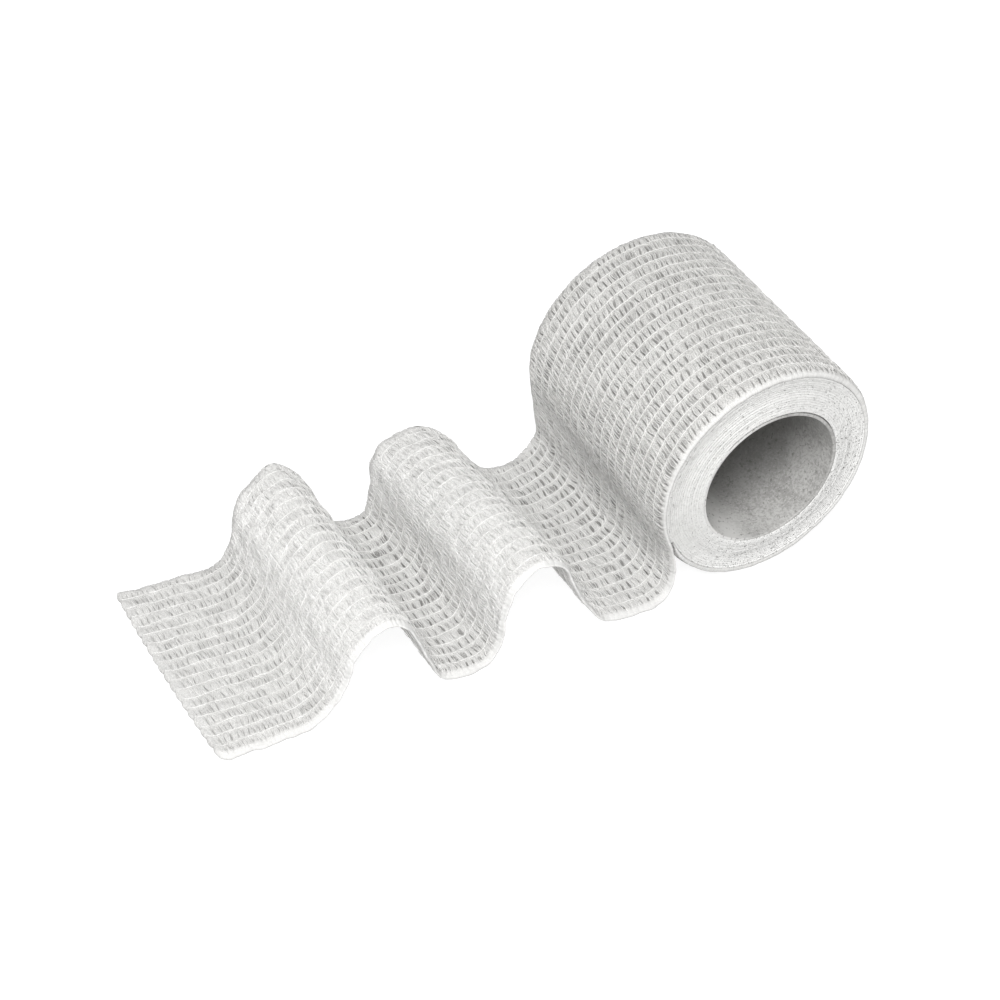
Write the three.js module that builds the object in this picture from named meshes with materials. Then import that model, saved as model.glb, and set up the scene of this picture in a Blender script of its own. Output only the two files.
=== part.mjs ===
// Cohesive bandage roll: one elastic gauze strip wound on a thin tube core, with its loose end
// paid out to the left in two standing folds. Millimetres, +Z up. The roll's axis runs along Y.
// The origin is the middle of the small flat spot that the roll rests on.

import * as THREE from 'three';

// Driving dimensions of the strip and the roll
const STRIP_WIDTH = 50;
const STRIP_THICKNESS = 1.2;
const FLAT_SPOT_WIDTH = 5;

// The roll's outer turn, anticlockwise seen from the near end, from under the place where the
// strip parts from it, round under, right and over, to where the strip eases off it on the left.
// Angles are in degrees from the right. One row for each change of the hand-wound shape.
const OUTER_TURN = [
  { at: 'under the parting', angle: { near: 217, far: 203 }, radius: { near: 23.6, far: 23.7 } },
  { at: 'lower left', angle: { near: 243, far: 238 }, radius: { near: 23.9, far: 24.0 } },
  { at: 'flat spot', angle: { near: 270, far: 270 }, radius: { near: 24.1, far: 24.1 } },
  { at: 'lower right', angle: { near: 315, far: 315 }, radius: { near: 23.9, far: 24.0 } },
  { at: 'right', angle: { near: 362, far: 362 }, radius: { near: 23.9, far: 24.1 } },
  { at: 'upper right', angle: { near: 402, far: 402 }, radius: { near: 24.3, far: 24.3 } },
  { at: 'top', angle: { near: 450, far: 450 }, radius: { near: 24.1, far: 24.2 } },
  { at: 'upper left', angle: { near: 498, far: 498 }, radius: { near: 24.1, far: 24.4 } },
  { at: 'left', angle: { near: 536, far: 530 }, radius: { near: 23.9, far: 24.6 } },
  { at: 'leaving', angle: { near: 563, far: 550 }, radius: { near: 23.9, far: 24.6 } },
];

// Driving dimensions of the core tube
const CORE_BORE_RADIUS = 14.6;
const CORE_WALL = 0.7;
const CORE_PROUD = 1.1;
const CORE_RIM_BEVEL = 0.15;
const CORE_CLEARANCE = 0.3;

// Middle line of the loose end, from the roll to the cut, in x and z. The near edge stands at
// nearY and the far edge at farY. One row for each change of direction.
const LOOSE_END = [
  { at: 'parting from the roll', near: [-20.0, 10.7], far: [-22.8, 15.2], nearY: -25.0, farY: 25.0 },
  { at: 'heel, upper', near: [-19.7, 7.6], far: [-22.1, 10.8], nearY: -25.1, farY: 25.0 },
  { at: 'heel', near: [-19.7, 4.7], far: [-21.5, 6.3], nearY: -25.3, farY: 25.0 },
  { at: 'heel, lower', near: [-21.1, 1.9], far: [-22.6, 2.9], nearY: -25.9, farY: 24.8 },
  { at: 'valley by the roll', near: [-24.6, 0.6], far: [-26.1, 1.1], nearY: -26.3, farY: 24.2 },
  { at: 'valley by the roll, floor', near: [-30.6, 0.6], far: [-31.2, 0.6], nearY: -26.2, farY: 23.5 },
  { at: 'second fold, foot', near: [-35.2, 1.4], far: [-35.2, 1.4], nearY: -25.9, farY: 23.7 },
  { at: 'second fold, fall', near: [-38.9, 5.2], far: [-39.3, 5.8], nearY: -25.5, farY: 24.2 },
  { at: 'second fold, upper fall', near: [-42.0, 11.0], far: [-43.4, 12.0], nearY: -25.2, farY: 24.6 },
  { at: 'second fold, brow', near: [-44.0, 16.5], far: [-46.7, 15.5], nearY: -25.0, farY: 24.8 },
  { at: 'second fold, crest', near: [-46.9, 19.8], far: [-50.2, 17.3], nearY: -25.0, farY: 24.8 },
  { at: 'second fold, top', near: [-50.4, 20.5], far: [-54.4, 17.4], nearY: -25.0, farY: 24.8 },
  { at: 'second fold, shoulder', near: [-54.6, 18.0], far: [-57.9, 16.4], nearY: -25.0, farY: 24.8 },
  { at: 'second fold, rise', near: [-57.2, 13.2], far: [-60.0, 12.6], nearY: -25.1, farY: 24.6 },
  { at: 'second fold, low rise', near: [-58.3, 5.4], far: [-60.7, 5.4], nearY: -25.4, farY: 24.0 },
  { at: 'second fold, heel', near: [-60.9, 1.2], far: [-62.6, 1.1], nearY: -25.7, farY: 23.3 },
  { at: 'middle valley', near: [-66.2, 0.6], far: [-67.2, 0.6], nearY: -25.9, farY: 23.0 },
  { at: 'first fold, foot', near: [-70.8, 1.5], far: [-70.9, 1.9], nearY: -25.4, farY: 23.3 },
  { at: 'first fold, fall', near: [-73.5, 5.7], far: [-73.1, 6.3], nearY: -25.4, farY: 24.0 },
  { at: 'first fold, upper fall', near: [-75.7, 11.2], far: [-75.7, 12.1], nearY: -25.1, farY: 24.5 },
  { at: 'first fold, brow', near: [-78.2, 16.7], far: [-78.2, 16.9], nearY: -25.0, farY: 24.8 },
  { at: 'first fold, crest', near: [-82.4, 19.3], far: [-82.4, 19.6], nearY: -25.0, farY: 24.8 },
  { at: 'first fold, shoulder', near: [-86.9, 17.1], far: [-87.2, 17.0], nearY: -25.0, farY: 24.8 },
  { at: 'first fold, rise', near: [-90.0, 12.5], far: [-90.2, 12.2], nearY: -25.0, farY: 24.4 },
  { at: 'first fold, low rise', near: [-91.4, 7.3], far: [-91.2, 6.6], nearY: -25.0, farY: 23.7 },
  { at: 'first fold, heel', near: [-94.4, 3.3], far: [-93.1, 2.4], nearY: -25.1, farY: 23.0 },
  { at: 'tail, bend', near: [-98.8, 0.8], far: [-97.2, 0.7], nearY: -25.3, farY: 22.6 },
  { at: 'tail', near: [-107.0, 0.6], far: [-107.0, 0.6], nearY: -25.3, farY: 22.9 },
  { at: 'cut, before the corners', near: [-115.2, 0.6], far: [-114.8, 0.6], nearY: -25.2, farY: 23.8 },
  { at: 'cut end', near: [-116.9, 0.6], far: [-116.2, 0.6], nearY: -23.9, farY: 24.2 },
];

// The cut end is a little longer in mid width than at its two corners
const CUT_BOW = 0.5;

// The near edge's shape holds further into the width than the far edge's: power of the blend
const TWIST = 1.5;

// How finely the solids are faceted
const STEPS_PER_ROW = 3;
const STATIONS = 9;
const ARC_STEP_DEGREES = 5;
const CORE_SEGMENTS = 64;

const GAUZE_COLOUR = 0xe8e6e1;
const CORE_COLOUR = 0x8b8a86;

const { lerp, degToRad, radToDeg, smoothstep } = THREE.MathUtils;
const FULL_TURN = 360;
const DOWN = 270;
const HALF_WIDTH = STRIP_WIDTH / 2;
const HALF_THICKNESS = STRIP_THICKNESS / 2;
const HALF_FLAT = FLAT_SPOT_WIDTH / 2;
const FLAT_RADIUS = OUTER_TURN.find((row) => row.at === 'flat spot').radius.near;
const AXIS_HEIGHT = Math.sqrt(FLAT_RADIUS ** 2 - HALF_FLAT ** 2);
const FLAT_HALF_ANGLE = radToDeg(Math.asin(HALF_FLAT / FLAT_RADIUS));
const BORE_RADIUS = CORE_BORE_RADIUS + CORE_WALL + CORE_CLEARANCE;

/** Point at an angle in degrees on a circle about the roll's axis, as x and z. */
function onCircle(radius, degrees) {
  const angle = degToRad(degrees);
  return [radius * Math.cos(angle), AXIS_HEIGHT + radius * Math.sin(angle)];
}

/** Angle in degrees of a point about the roll's axis, from 0 to 360. */
function angleOf([x, z]) {
  return (radToDeg(Math.atan2(z - AXIS_HEIGHT, x)) + FULL_TURN) % FULL_TURN;
}

/** How far the shape has turned from the near edge's towards the far edge's, 0 to 1. */
function twistAt(across) {
  return across ** TWIST;
}

/** Radius of the outer turn at an angle, for a station across the width. */
function turnRadius(across, degrees) {
  const twist = twistAt(across);
  const rows = OUTER_TURN.map(({ angle, radius }) => ({
    angle: lerp(angle.near, angle.far, twist),
    radius: lerp(radius.near, radius.far, twist),
  }));
  const after = rows.findIndex((row) => row.angle >= degrees);
  if (after === 0) return rows[0].radius;
  if (after < 0) return rows[rows.length - 1].radius;
  const [low, high] = [rows[after - 1], rows[after]];
  return lerp(low.radius, high.radius, smoothstep(degrees, low.angle, high.angle));
}

/** Middle-line samples of one edge from where it leaves the roll to the cut, as x and z. */
function edgeSamples(side) {
  const across = side === 'near' ? 0 : 1;
  const leaving = OUTER_TURN[OUTER_TURN.length - 1].angle[side];
  const onRoll = [leaving - 16, leaving - 8, leaving].map((degrees) =>
    onCircle(turnRadius(across, degrees) - HALF_THICKNESS, degrees));
  const knots = [...onRoll, ...LOOSE_END.map((row) => row[side])];
  const curve = new THREE.CatmullRomCurve3(
    knots.map(([x, z]) => new THREE.Vector3(x, 0, z)), false, 'centripetal');
  const firstSpan = onRoll.length - 1;
  const spans = knots.length - 1;
  const count = (spans - firstSpan) * STEPS_PER_ROW;
  return Array.from({ length: count + 1 }, (_, index) => {
    const point = curve.getPoint((firstSpan + index / STEPS_PER_ROW) / spans);
    return [point.x, Math.max(point.z, HALF_THICKNESS)];
  });
}

const NEAR_SAMPLES = edgeSamples('near');
const FAR_SAMPLES = edgeSamples('far');
const LAST_SAMPLE = NEAR_SAMPLES.length - 1;

// The sample at which the strip's underside comes clear of the turn below it
const PARTING_SAMPLE = STEPS_PER_ROW;

/** A table column of edge places, blended between its rows, at a sample. */
function columnAt(column, sample) {
  const rowPlace = Math.max(sample / STEPS_PER_ROW - 1, 0);
  const row = Math.min(Math.floor(rowPlace), LOOSE_END.length - 2);
  return lerp(LOOSE_END[row][column], LOOSE_END[row + 1][column], rowPlace - row);
}

/** The strip's middle line at one station across the width, as x and z. */
function middleLine(across) {
  const twist = twistAt(across);
  const bow = CUT_BOW * (1 - (2 * across - 1) ** 2);
  return NEAR_SAMPLES.map(([nearX, nearZ], sample) => {
    const [farX, farZ] = FAR_SAMPLES[sample];
    const reach = smoothstep(sample, LAST_SAMPLE - 2 * STEPS_PER_ROW, LAST_SAMPLE);
    return [lerp(nearX, farX, twist) - bow * reach, lerp(nearZ, farZ, twist)];
  });
}

/** Unit normal of a middle line at a sample, out of the roll and up off the table. */
function outward(line, sample) {
  const before = line[Math.max(sample - 1, 0)];
  const after = line[Math.min(sample + 1, line.length - 1)];
  const [dx, dz] = [after[0] - before[0], after[1] - before[1]];
  const length = Math.hypot(dx, dz);
  return [dz / length, -dx / length];
}

/** One face of the strip along a middle line: side is 1 for the outer face, -1 for the under. */
function stripFace(line, side) {
  return line.map(([x, z], sample) => {
    const [nx, nz] = outward(line, sample);
    const offset = side * HALF_THICKNESS;
    return [x + nx * offset, Math.max(z + nz * offset, 0)];
  });
}

/** Points of the outer turn from one angle to another, both included. */
function turnArc(across, from, to, segments) {
  return Array.from({ length: segments + 1 }, (_, index) => {
    const degrees = lerp(from, to, index / segments);
    const [x, z] = onCircle(turnRadius(across, degrees), degrees);
    return [x, Math.max(z, 0)];
  });
}

/** The roll's surface at a station, from the parting under, right and over to the leaving. */
function rollSurface(across, partingAngle, leavingAngle) {
  const { angle } = OUTER_TURN[0];
  const underSegments = Math.round((DOWN - angle.near) / ARC_STEP_DEGREES);
  const overSegments = Math.round((FULL_TURN + angle.near - DOWN) / ARC_STEP_DEGREES);
  const under = turnArc(across, partingAngle, DOWN - FLAT_HALF_ANGLE, underSegments);
  const over = turnArc(across, DOWN + FLAT_HALF_ANGLE, leavingAngle + FULL_TURN, overSegments);
  under[under.length - 1] = [-HALF_FLAT, 0];
  over[0] = [HALF_FLAT, 0];
  return [...under, ...over];
}

/**
 * Closed outline of the cloth at one station: the roll's surface, then out along the strip's
 * outer face, round the cut and back along its underside. Each point is x, y and z.
 */
function outline(across) {
  const line = middleLine(across);
  const outer = stripFace(line, 1);
  const under = stripFace(line, -1);
  const surface = rollSurface(across, angleOf(under[PARTING_SAMPLE]), angleOf(outer[0]));
  const rollY = lerp(-HALF_WIDTH, HALF_WIDTH, across);
  const stripPoint = ([x, z], sample) =>
    [x, lerp(columnAt('nearY', sample), columnAt('farY', sample), across), z];
  const outbound = outer.map(stripPoint).slice(1);
  const homeward = under.map(stripPoint).slice(PARTING_SAMPLE + 1).reverse();
  return {
    points: [...surface.map(([x, z]) => [x, rollY, z]), ...outbound, ...homeward],
    surfaceCount: surface.length,
  };
}

/** Ring of bore points at one end of the cloth, as x, y and z. */
function boreRing(y) {
  return Array.from({ length: CORE_SEGMENTS }, (_, index) => {
    const [x, z] = onCircle(BORE_RADIUS, (FULL_TURN * index) / CORE_SEGMENTS);
    return [x, y, z];
  });
}

/** Triangles of a flat end of the wound roll, as indices of its rim and then of its bore. */
function rollEndTriangles(rim, bore) {
  const flat = (ring) => ring.map(([x, , z]) => new THREE.Vector2(x, z));
  return THREE.ShapeUtils.triangulateShape(flat(rim), [flat(bore)]);
}

/** Triangles of one long edge of the strip, as indices of the outline. */
function stripEdgeTriangles(surfaceCount, count) {
  const outerAt = (sample) => surfaceCount - 1 + sample;
  const underAt = (sample) => (sample === PARTING_SAMPLE ? 0 : count + PARTING_SAMPLE - sample);
  const triangles = [];
  for (let sample = 0; sample < PARTING_SAMPLE; sample += 1) {
    triangles.push([outerAt(sample), outerAt(sample + 1), 0]);
  }
  for (let sample = PARTING_SAMPLE; sample < LAST_SAMPLE; sample += 1) {
    triangles.push([outerAt(sample), outerAt(sample + 1), underAt(sample + 1)]);
    triangles.push([outerAt(sample), underAt(sample + 1), underAt(sample)]);
  }
  return triangles;
}

/** Triangles of a band between two closed rings of equal count, by their first indices. */
function bandTriangles(firstStart, secondStart, ringCount) {
  return Array.from({ length: ringCount }, (_, index) => {
    const next = (index + 1) % ringCount;
    return [
      [firstStart + index, firstStart + next, secondStart + next],
      [firstStart + index, secondStart + next, secondStart + index],
    ];
  }).flat();
}

/** Triangles that close the cloth at one station: the roll's flat end and the strip's edge. */
function endTriangles(station, ringStart, bore, boreStart) {
  const { points, surfaceCount } = station;
  const lift = (corner) =>
    corner < surfaceCount ? ringStart + corner : boreStart + corner - surfaceCount;
  const ring = rollEndTriangles(points.slice(0, surfaceCount), bore)
    .map((corners) => corners.map(lift));
  const edge = stripEdgeTriangles(surfaceCount, points.length)
    .map((corners) => corners.map((corner) => ringStart + corner));
  return [...ring, ...edge];
}

/** The cloth: the wound turns and the loose end as one closed body with the core's bore. */
function bandageGeometry() {
  const last = STATIONS - 1;
  const stations = Array.from({ length: STATIONS }, (_, index) => outline(index / last));
  const count = stations[0].points.length;
  const nearBore = boreRing(-HALF_WIDTH);
  const farBore = boreRing(HALF_WIDTH);
  const nearBoreStart = count * STATIONS;
  const farBoreStart = nearBoreStart + CORE_SEGMENTS;
  const vertices = [...stations.flatMap(({ points }) => points), ...nearBore, ...farBore];

  const walls = stations.slice(1).flatMap((_, index) =>
    bandTriangles((index + 1) * count, index * count, count));
  const triangles = [
    ...walls,
    ...bandTriangles(nearBoreStart, farBoreStart, CORE_SEGMENTS),
    ...endTriangles(stations[0], 0, nearBore, nearBoreStart),
    ...endTriangles(stations[last], last * count, farBore, farBoreStart)
      .map((corners) => [...corners].reverse()),
  ];

  const geometry = new THREE.BufferGeometry();
  geometry.setAttribute('position', new THREE.Float32BufferAttribute(vertices.flat(), 3));
  geometry.setIndex(triangles.flat());
  geometry.computeVertexNormals();
  return geometry;
}

/** Thin-walled core tube with the edges of its rims broken, standing along Y from its near end. */
function coreGeometry() {
  const length = STRIP_WIDTH + CORE_PROUD;
  const inner = CORE_BORE_RADIUS;
  const outer = CORE_BORE_RADIUS + CORE_WALL;
  const bevel = CORE_RIM_BEVEL;
  const profile = [
    [inner, bevel],
    [inner + bevel, 0],
    [outer - bevel, 0],
    [outer, bevel],
    [outer, length - bevel],
    [outer - bevel, length],
    [inner + bevel, length],
    [inner, length - bevel],
    [inner, bevel],
  ].map(([radius, along]) => new THREE.Vector2(radius, along));
  return new THREE.LatheGeometry(profile, CORE_SEGMENTS);
}

/** A named mesh with its own finish. */
function piece(name, geometry, color, roughness) {
  const material = new THREE.MeshStandardMaterial({ color, roughness, metalness: 0 });
  const mesh = new THREE.Mesh(geometry, material);
  mesh.name = name;
  return mesh;
}

const bandageRoll = new THREE.Group();

const bandage = piece('bandage', bandageGeometry(), GAUZE_COLOUR, 0.95);
bandageRoll.add(bandage);

const core = piece('core', coreGeometry(), CORE_COLOUR, 0.6);
core.position.set(0, -HALF_WIDTH - CORE_PROUD, AXIS_HEIGHT);
bandageRoll.add(core);

export default bandageRoll;
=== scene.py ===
"""Cohesive bandage roll: one elastic gauze strip on a thin grey tube, its loose end laid in two folds.

Metres, +Z up. The roll's axis runs along Y, and the origin is the middle of the flat spot that the
roll rests on. The strip's own coordinates run across it, from its near edge at 0 to its far edge
at 1, and along it, from the place where its last turn comes out from under the loose end to the cut.

Two numbers named as a Band are the values between which something changes smoothly. The four of a
Change are a band and the results at its two ends.
"""

import logging
import math
from dataclasses import dataclass, field
from enum import Enum

import bpy
import numpy as np
from mathutils import Matrix, Vector

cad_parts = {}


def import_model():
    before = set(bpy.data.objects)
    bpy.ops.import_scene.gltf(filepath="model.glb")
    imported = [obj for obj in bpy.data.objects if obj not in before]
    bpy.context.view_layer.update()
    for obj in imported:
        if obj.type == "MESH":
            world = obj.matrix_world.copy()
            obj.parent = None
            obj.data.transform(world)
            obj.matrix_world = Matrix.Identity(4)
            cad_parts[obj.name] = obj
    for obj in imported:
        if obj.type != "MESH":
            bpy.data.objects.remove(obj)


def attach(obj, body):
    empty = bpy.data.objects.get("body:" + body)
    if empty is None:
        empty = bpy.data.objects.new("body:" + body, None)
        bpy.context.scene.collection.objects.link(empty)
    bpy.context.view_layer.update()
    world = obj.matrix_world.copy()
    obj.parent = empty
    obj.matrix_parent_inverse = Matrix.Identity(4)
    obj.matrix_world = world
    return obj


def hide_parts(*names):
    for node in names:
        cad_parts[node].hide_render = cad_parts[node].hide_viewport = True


LOG = logging.getLogger("bandage_roll")
BODY = "root"
CLOTH_NODE = "bandage"
CORE_NODE = "core"
FULL_TURN = 360.0
MILLIMETRE = 0.001
BAKE_MAP = "OFBake"

Band = tuple[float, float]
Colour = tuple[float, float, float, float]
Change = tuple[float, float, float, float]
Given = bpy.types.NodeSocket | float | tuple[float, ...]


class Edge(Enum):
    """The strip's two long edges, with their place across it."""

    NEAR = 0.0
    FAR = 1.0


class Side(Enum):
    """The strip's two faces: OUTER is away from the roll's axis and up off the table."""

    OUTER = 1
    UNDER = -1


@dataclass(frozen=True)
class TurnRow:
    """One change in the roll's last turn: the angle in degrees and the radius, at both edges."""

    at: str
    near_angle: float
    far_angle: float
    near_radius: float
    far_radius: float


@dataclass(frozen=True)
class EndRow:
    """One change in the loose end: the middle of its thickness in x and z, and y, at both edges."""

    at: str
    near: tuple[float, float]
    far: tuple[float, float]
    near_y: float
    far_y: float


LAST_TURN = (
    TurnRow("tucked under the loose end", 203, 189, 0.0229, 0.0229),
    TurnRow("under the parting", 217, 203, 0.0236, 0.0237),
    TurnRow("lower left", 243, 238, 0.0239, 0.0240),
    TurnRow("flat spot", 270, 270, 0.0241, 0.0241),
    TurnRow("lower right", 315, 315, 0.0239, 0.0240),
    TurnRow("right", 362, 362, 0.0239, 0.0241),
    TurnRow("upper right", 402, 402, 0.0243, 0.0243),
    TurnRow("top", 450, 450, 0.0241, 0.0242),
    TurnRow("upper left", 498, 498, 0.0241, 0.0244),
    TurnRow("left", 536, 530, 0.0239, 0.0246),
    TurnRow("leaving", 563, 550, 0.0239, 0.0246),
)

LOOSE_END = (
    EndRow("parting from the roll", (-0.0200, 0.0107), (-0.0228, 0.0152), -0.0250, 0.0250),
    EndRow("heel, upper", (-0.0197, 0.0076), (-0.0221, 0.0108), -0.0251, 0.0250),
    EndRow("heel", (-0.0197, 0.0047), (-0.0215, 0.0063), -0.0253, 0.0250),
    EndRow("heel, lower", (-0.0211, 0.0019), (-0.0226, 0.0029), -0.0259, 0.0248),
    EndRow("valley by the roll", (-0.0246, 0.0006), (-0.0261, 0.0011), -0.0263, 0.0242),
    EndRow("valley by the roll, floor", (-0.0306, 0.0006), (-0.0312, 0.0006), -0.0262, 0.0235),
    EndRow("second fold, foot", (-0.0352, 0.0014), (-0.0352, 0.0014), -0.0259, 0.0237),
    EndRow("second fold, fall", (-0.0389, 0.0052), (-0.0393, 0.0058), -0.0255, 0.0242),
    EndRow("second fold, upper fall", (-0.0420, 0.0110), (-0.0434, 0.0120), -0.0252, 0.0246),
    EndRow("second fold, brow", (-0.0440, 0.0165), (-0.0467, 0.0155), -0.0250, 0.0248),
    EndRow("second fold, crest", (-0.0469, 0.0198), (-0.0502, 0.0173), -0.0250, 0.0248),
    EndRow("second fold, top", (-0.0504, 0.0205), (-0.0544, 0.0174), -0.0250, 0.0248),
    EndRow("second fold, shoulder", (-0.0546, 0.0180), (-0.0579, 0.0164), -0.0250, 0.0248),
    EndRow("second fold, rise", (-0.0572, 0.0132), (-0.0600, 0.0126), -0.0251, 0.0246),
    EndRow("second fold, low rise", (-0.0583, 0.0054), (-0.0607, 0.0054), -0.0254, 0.0240),
    EndRow("second fold, heel", (-0.0609, 0.0012), (-0.0626, 0.0011), -0.0257, 0.0233),
    EndRow("middle valley", (-0.0662, 0.0006), (-0.0672, 0.0006), -0.0259, 0.0230),
    EndRow("first fold, foot", (-0.0708, 0.0015), (-0.0709, 0.0019), -0.0254, 0.0233),
    EndRow("first fold, fall", (-0.0735, 0.0057), (-0.0731, 0.0063), -0.0254, 0.0240),
    EndRow("first fold, upper fall", (-0.0757, 0.0112), (-0.0757, 0.0121), -0.0251, 0.0245),
    EndRow("first fold, brow", (-0.0782, 0.0167), (-0.0782, 0.0169), -0.0250, 0.0248),
    EndRow("first fold, crest", (-0.0824, 0.0193), (-0.0824, 0.0196), -0.0250, 0.0248),
    EndRow("first fold, shoulder", (-0.0869, 0.0171), (-0.0872, 0.0170), -0.0250, 0.0248),
    EndRow("first fold, rise", (-0.0900, 0.0125), (-0.0902, 0.0122), -0.0250, 0.0244),
    EndRow("first fold, low rise", (-0.0914, 0.0073), (-0.0912, 0.0066), -0.0250, 0.0237),
    EndRow("first fold, heel", (-0.0944, 0.0033), (-0.0931, 0.0024), -0.0251, 0.0230),
    EndRow("tail, bend", (-0.0988, 0.0008), (-0.0972, 0.0007), -0.0253, 0.0226),
    EndRow("tail", (-0.1070, 0.0006), (-0.1070, 0.0006), -0.0253, 0.0229),
    EndRow("cut, before the corners", (-0.1152, 0.0006), (-0.1148, 0.0006), -0.0252, 0.0238),
    EndRow("cut end", (-0.1169, 0.0006), (-0.1162, 0.0006), -0.0239, 0.0242),
)


def lerp(low: np.ndarray, high: np.ndarray, share: np.ndarray) -> np.ndarray:
    """Value between low and high at a share of the way."""
    return low + (high - low) * share


def smoothstep(value: np.ndarray, low: float, high: float) -> np.ndarray:
    """Smooth rise from 0 where value is low to 1 where it is high."""
    share = np.clip((value - low) / (high - low), 0.0, 1.0)
    return share * share * (3.0 - 2.0 * share)


def to_whole(value: np.ndarray) -> np.ndarray:
    """Distance of a value from its nearest whole number."""
    return np.abs(value - np.round(value))


@dataclass(frozen=True)
class Patch:
    """A rectangle of a piece's bake map, which holds one part of its surface."""

    left: float
    bottom: float
    right: float
    top: float

    def places(self, along: np.ndarray, across: np.ndarray) -> np.ndarray:
        """Places in the rectangle for shares from 0 to 1 along it and across it."""
        u = lerp(self.left, self.right, np.asarray(along, float))
        return np.stack((u, lerp(self.bottom, self.top, np.asarray(across, float))), -1)


TUBE_LANES = Patch(0.002, 0.002, 0.998, 0.998)
LANE_SHARE = 0.9
MAP_START, MAP_STOP = 0.003, 0.997


class ClosedMesh:
    """Collects the points and faces of one closed piece, and makes its object."""

    def __init__(self, name: str) -> None:
        """Starts an empty piece.

        Args:
            name: The piece's name.
        """
        self.name = name
        self.points: list[np.ndarray] = []
        self.count = 0
        self.faces: list[np.ndarray] = []
        self.places: list[np.ndarray] = []

    def add_points(self, points: np.ndarray) -> np.ndarray:
        """Adds points.

        Args:
            points: The points, in a grid of any shape.

        Returns:
            Their vertex numbers, in the same grid shape.
        """
        shape = points.shape[:-1]
        numbers = self.count + np.arange(math.prod(shape)).reshape(shape)
        self.points.append(points.reshape(-1, 3))
        self.count += numbers.size
        return numbers

    def add_faces(self, corners: np.ndarray, places: np.ndarray) -> None:
        """Adds faces that have the same count of corners.

        Args:
            corners: The vertex numbers of each face, last in the grid.
            places: Each corner's place in the bake map, or one place for all.
        """
        sides = corners.shape[-1]
        self.faces.append(corners.reshape(-1, sides))
        self.places.append(np.broadcast_to(places, corners.shape + (2,)).reshape(-1, sides, 2))

    def add_grid(self, numbers: np.ndarray, patch: Patch, turned: bool = False) -> None:
        """Adds the quads of a grid with rows along the strip and columns across it.

        Args:
            numbers: The grid's vertex numbers.
            patch: The grid's part of the bake map.
            turned: Whether the faces point the other way.
        """
        rows, columns = (np.linspace(0.0, 1.0, count) for count in numbers.shape)
        spots = patch.places(rows[:, None] + 0 * columns, 0 * rows[:, None] + columns)
        order = ((1, 0), (1, 1), (0, 1), (0, 0)) if turned else ((0, 0), (0, 1), (1, 1), (1, 0))
        picks = [(slice(a, a - 1 or None), slice(b, b - 1 or None)) for a, b in order]
        corners = np.stack([numbers[pick] for pick in picks], -1)
        self.add_faces(corners, np.stack([spots[pick] for pick in picks], -2))

    def add_band(self, first: np.ndarray, second: np.ndarray, patch: Patch) -> None:
        """Adds quads between two closed loops of equal count.

        Args:
            first: The vertex numbers of one loop.
            second: The vertex numbers of the other loop.
            patch: The band's part of the bake map.
        """
        steps = np.arange(len(first))
        share = np.stack((steps, steps, steps + 1, steps + 1), -1) / len(first)
        rise = np.broadcast_to((0.0, 1.0, 1.0, 0.0), share.shape)
        corners = np.stack((first, second, np.roll(second, -1), np.roll(first, -1)), -1)
        self.add_faces(corners, patch.places(share, rise))

    def add_stitches(self, fine: np.ndarray, coarse: dict[int, int], patch: Patch) -> None:
        """Adds triangles between a fine closed loop and a coarser one.

        Args:
            fine: The vertex numbers of the fine loop.
            coarse: The coarser loop's vertex number for each place in the fine loop that has one.
            patch: The triangles' part of the bake map.
        """
        starts, count = sorted(coarse), len(fine)
        corners, spots = [], []
        for start, stop in zip(starts, starts[1:] + [starts[0] + count]):
            here, there, middle = coarse[start], coarse[stop % count], (start + stop) // 2
            for step in range(start, stop):
                held, place = (here, start) if step < middle else (there, stop)
                corners.append((fine[step % count], held, fine[(step + 1) % count]))
                spots.append(((step, 0), (place, 1), (step + 1, 0)))
            corners.append((fine[middle % count], here, there))
            spots.append(((middle, 0), (start, 1), (stop, 1)))
        spots = np.array(spots, float)
        self.add_faces(np.array(corners), patch.places(spots[..., 0] / count, spots[..., 1]))

    def add_tubes(
        self, centres: np.ndarray, facing: np.ndarray, radius: float | np.ndarray, sides: int
    ) -> None:
        """Adds closed tubes, each with its own lane of the bake map.

        Args:
            centres: Centre points, with tubes first and steps second.
            facing: The direction of each ring's first side, of the same shape.
            radius: The radius, as one number or one for each centre point.
            sides: How many sides a tube has.
        """
        run = np.gradient(centres, axis=1)
        run /= np.linalg.norm(run, axis=-1, keepdims=True)
        aside = np.cross(run, facing)
        aside /= np.linalg.norm(aside, axis=-1, keepdims=True)
        up = np.cross(aside, run)
        turn = 2 * math.pi * np.arange(sides) / sides
        ring = np.cos(turn)[:, None] * up[:, :, None] + np.sin(turn)[:, None] * aside[:, :, None]
        reach = np.broadcast_to(np.asarray(radius, float), centres.shape[:2])[..., None, None]
        numbers = self.add_points(centres[:, :, None] + ring * reach)
        count, steps = centres.shape[:2]
        ranges = (np.arange(number) for number in (count, steps - 1, sides))
        tube, step, side = np.meshgrid(*ranges, indexing="ij")
        low = (tube + LANE_SHARE * side / sides) / count
        high = (tube + LANE_SHARE * (side + 1) / sides) / count
        start, stop = step / (steps - 1), (step + 1) / (steps - 1)
        following = np.roll(numbers, -1, axis=2)
        corners = (numbers[:, :-1], following[:, :-1], following[:, 1:], numbers[:, 1:])
        along = np.stack((start, start, stop, stop), -1)
        spots = TUBE_LANES.places(along, np.stack((low, high, high, low), -1))
        self.add_faces(np.stack(corners, -1), spots)
        rise = (np.arange(count)[:, None] + LANE_SHARE * np.arange(sides) / sides) / count
        self.add_faces(numbers[:, 0, ::-1], TUBE_LANES.places(0 * rise, rise[:, ::-1]))
        self.add_faces(numbers[:, -1], TUBE_LANES.places(0 * rise + 1, rise))

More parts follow.
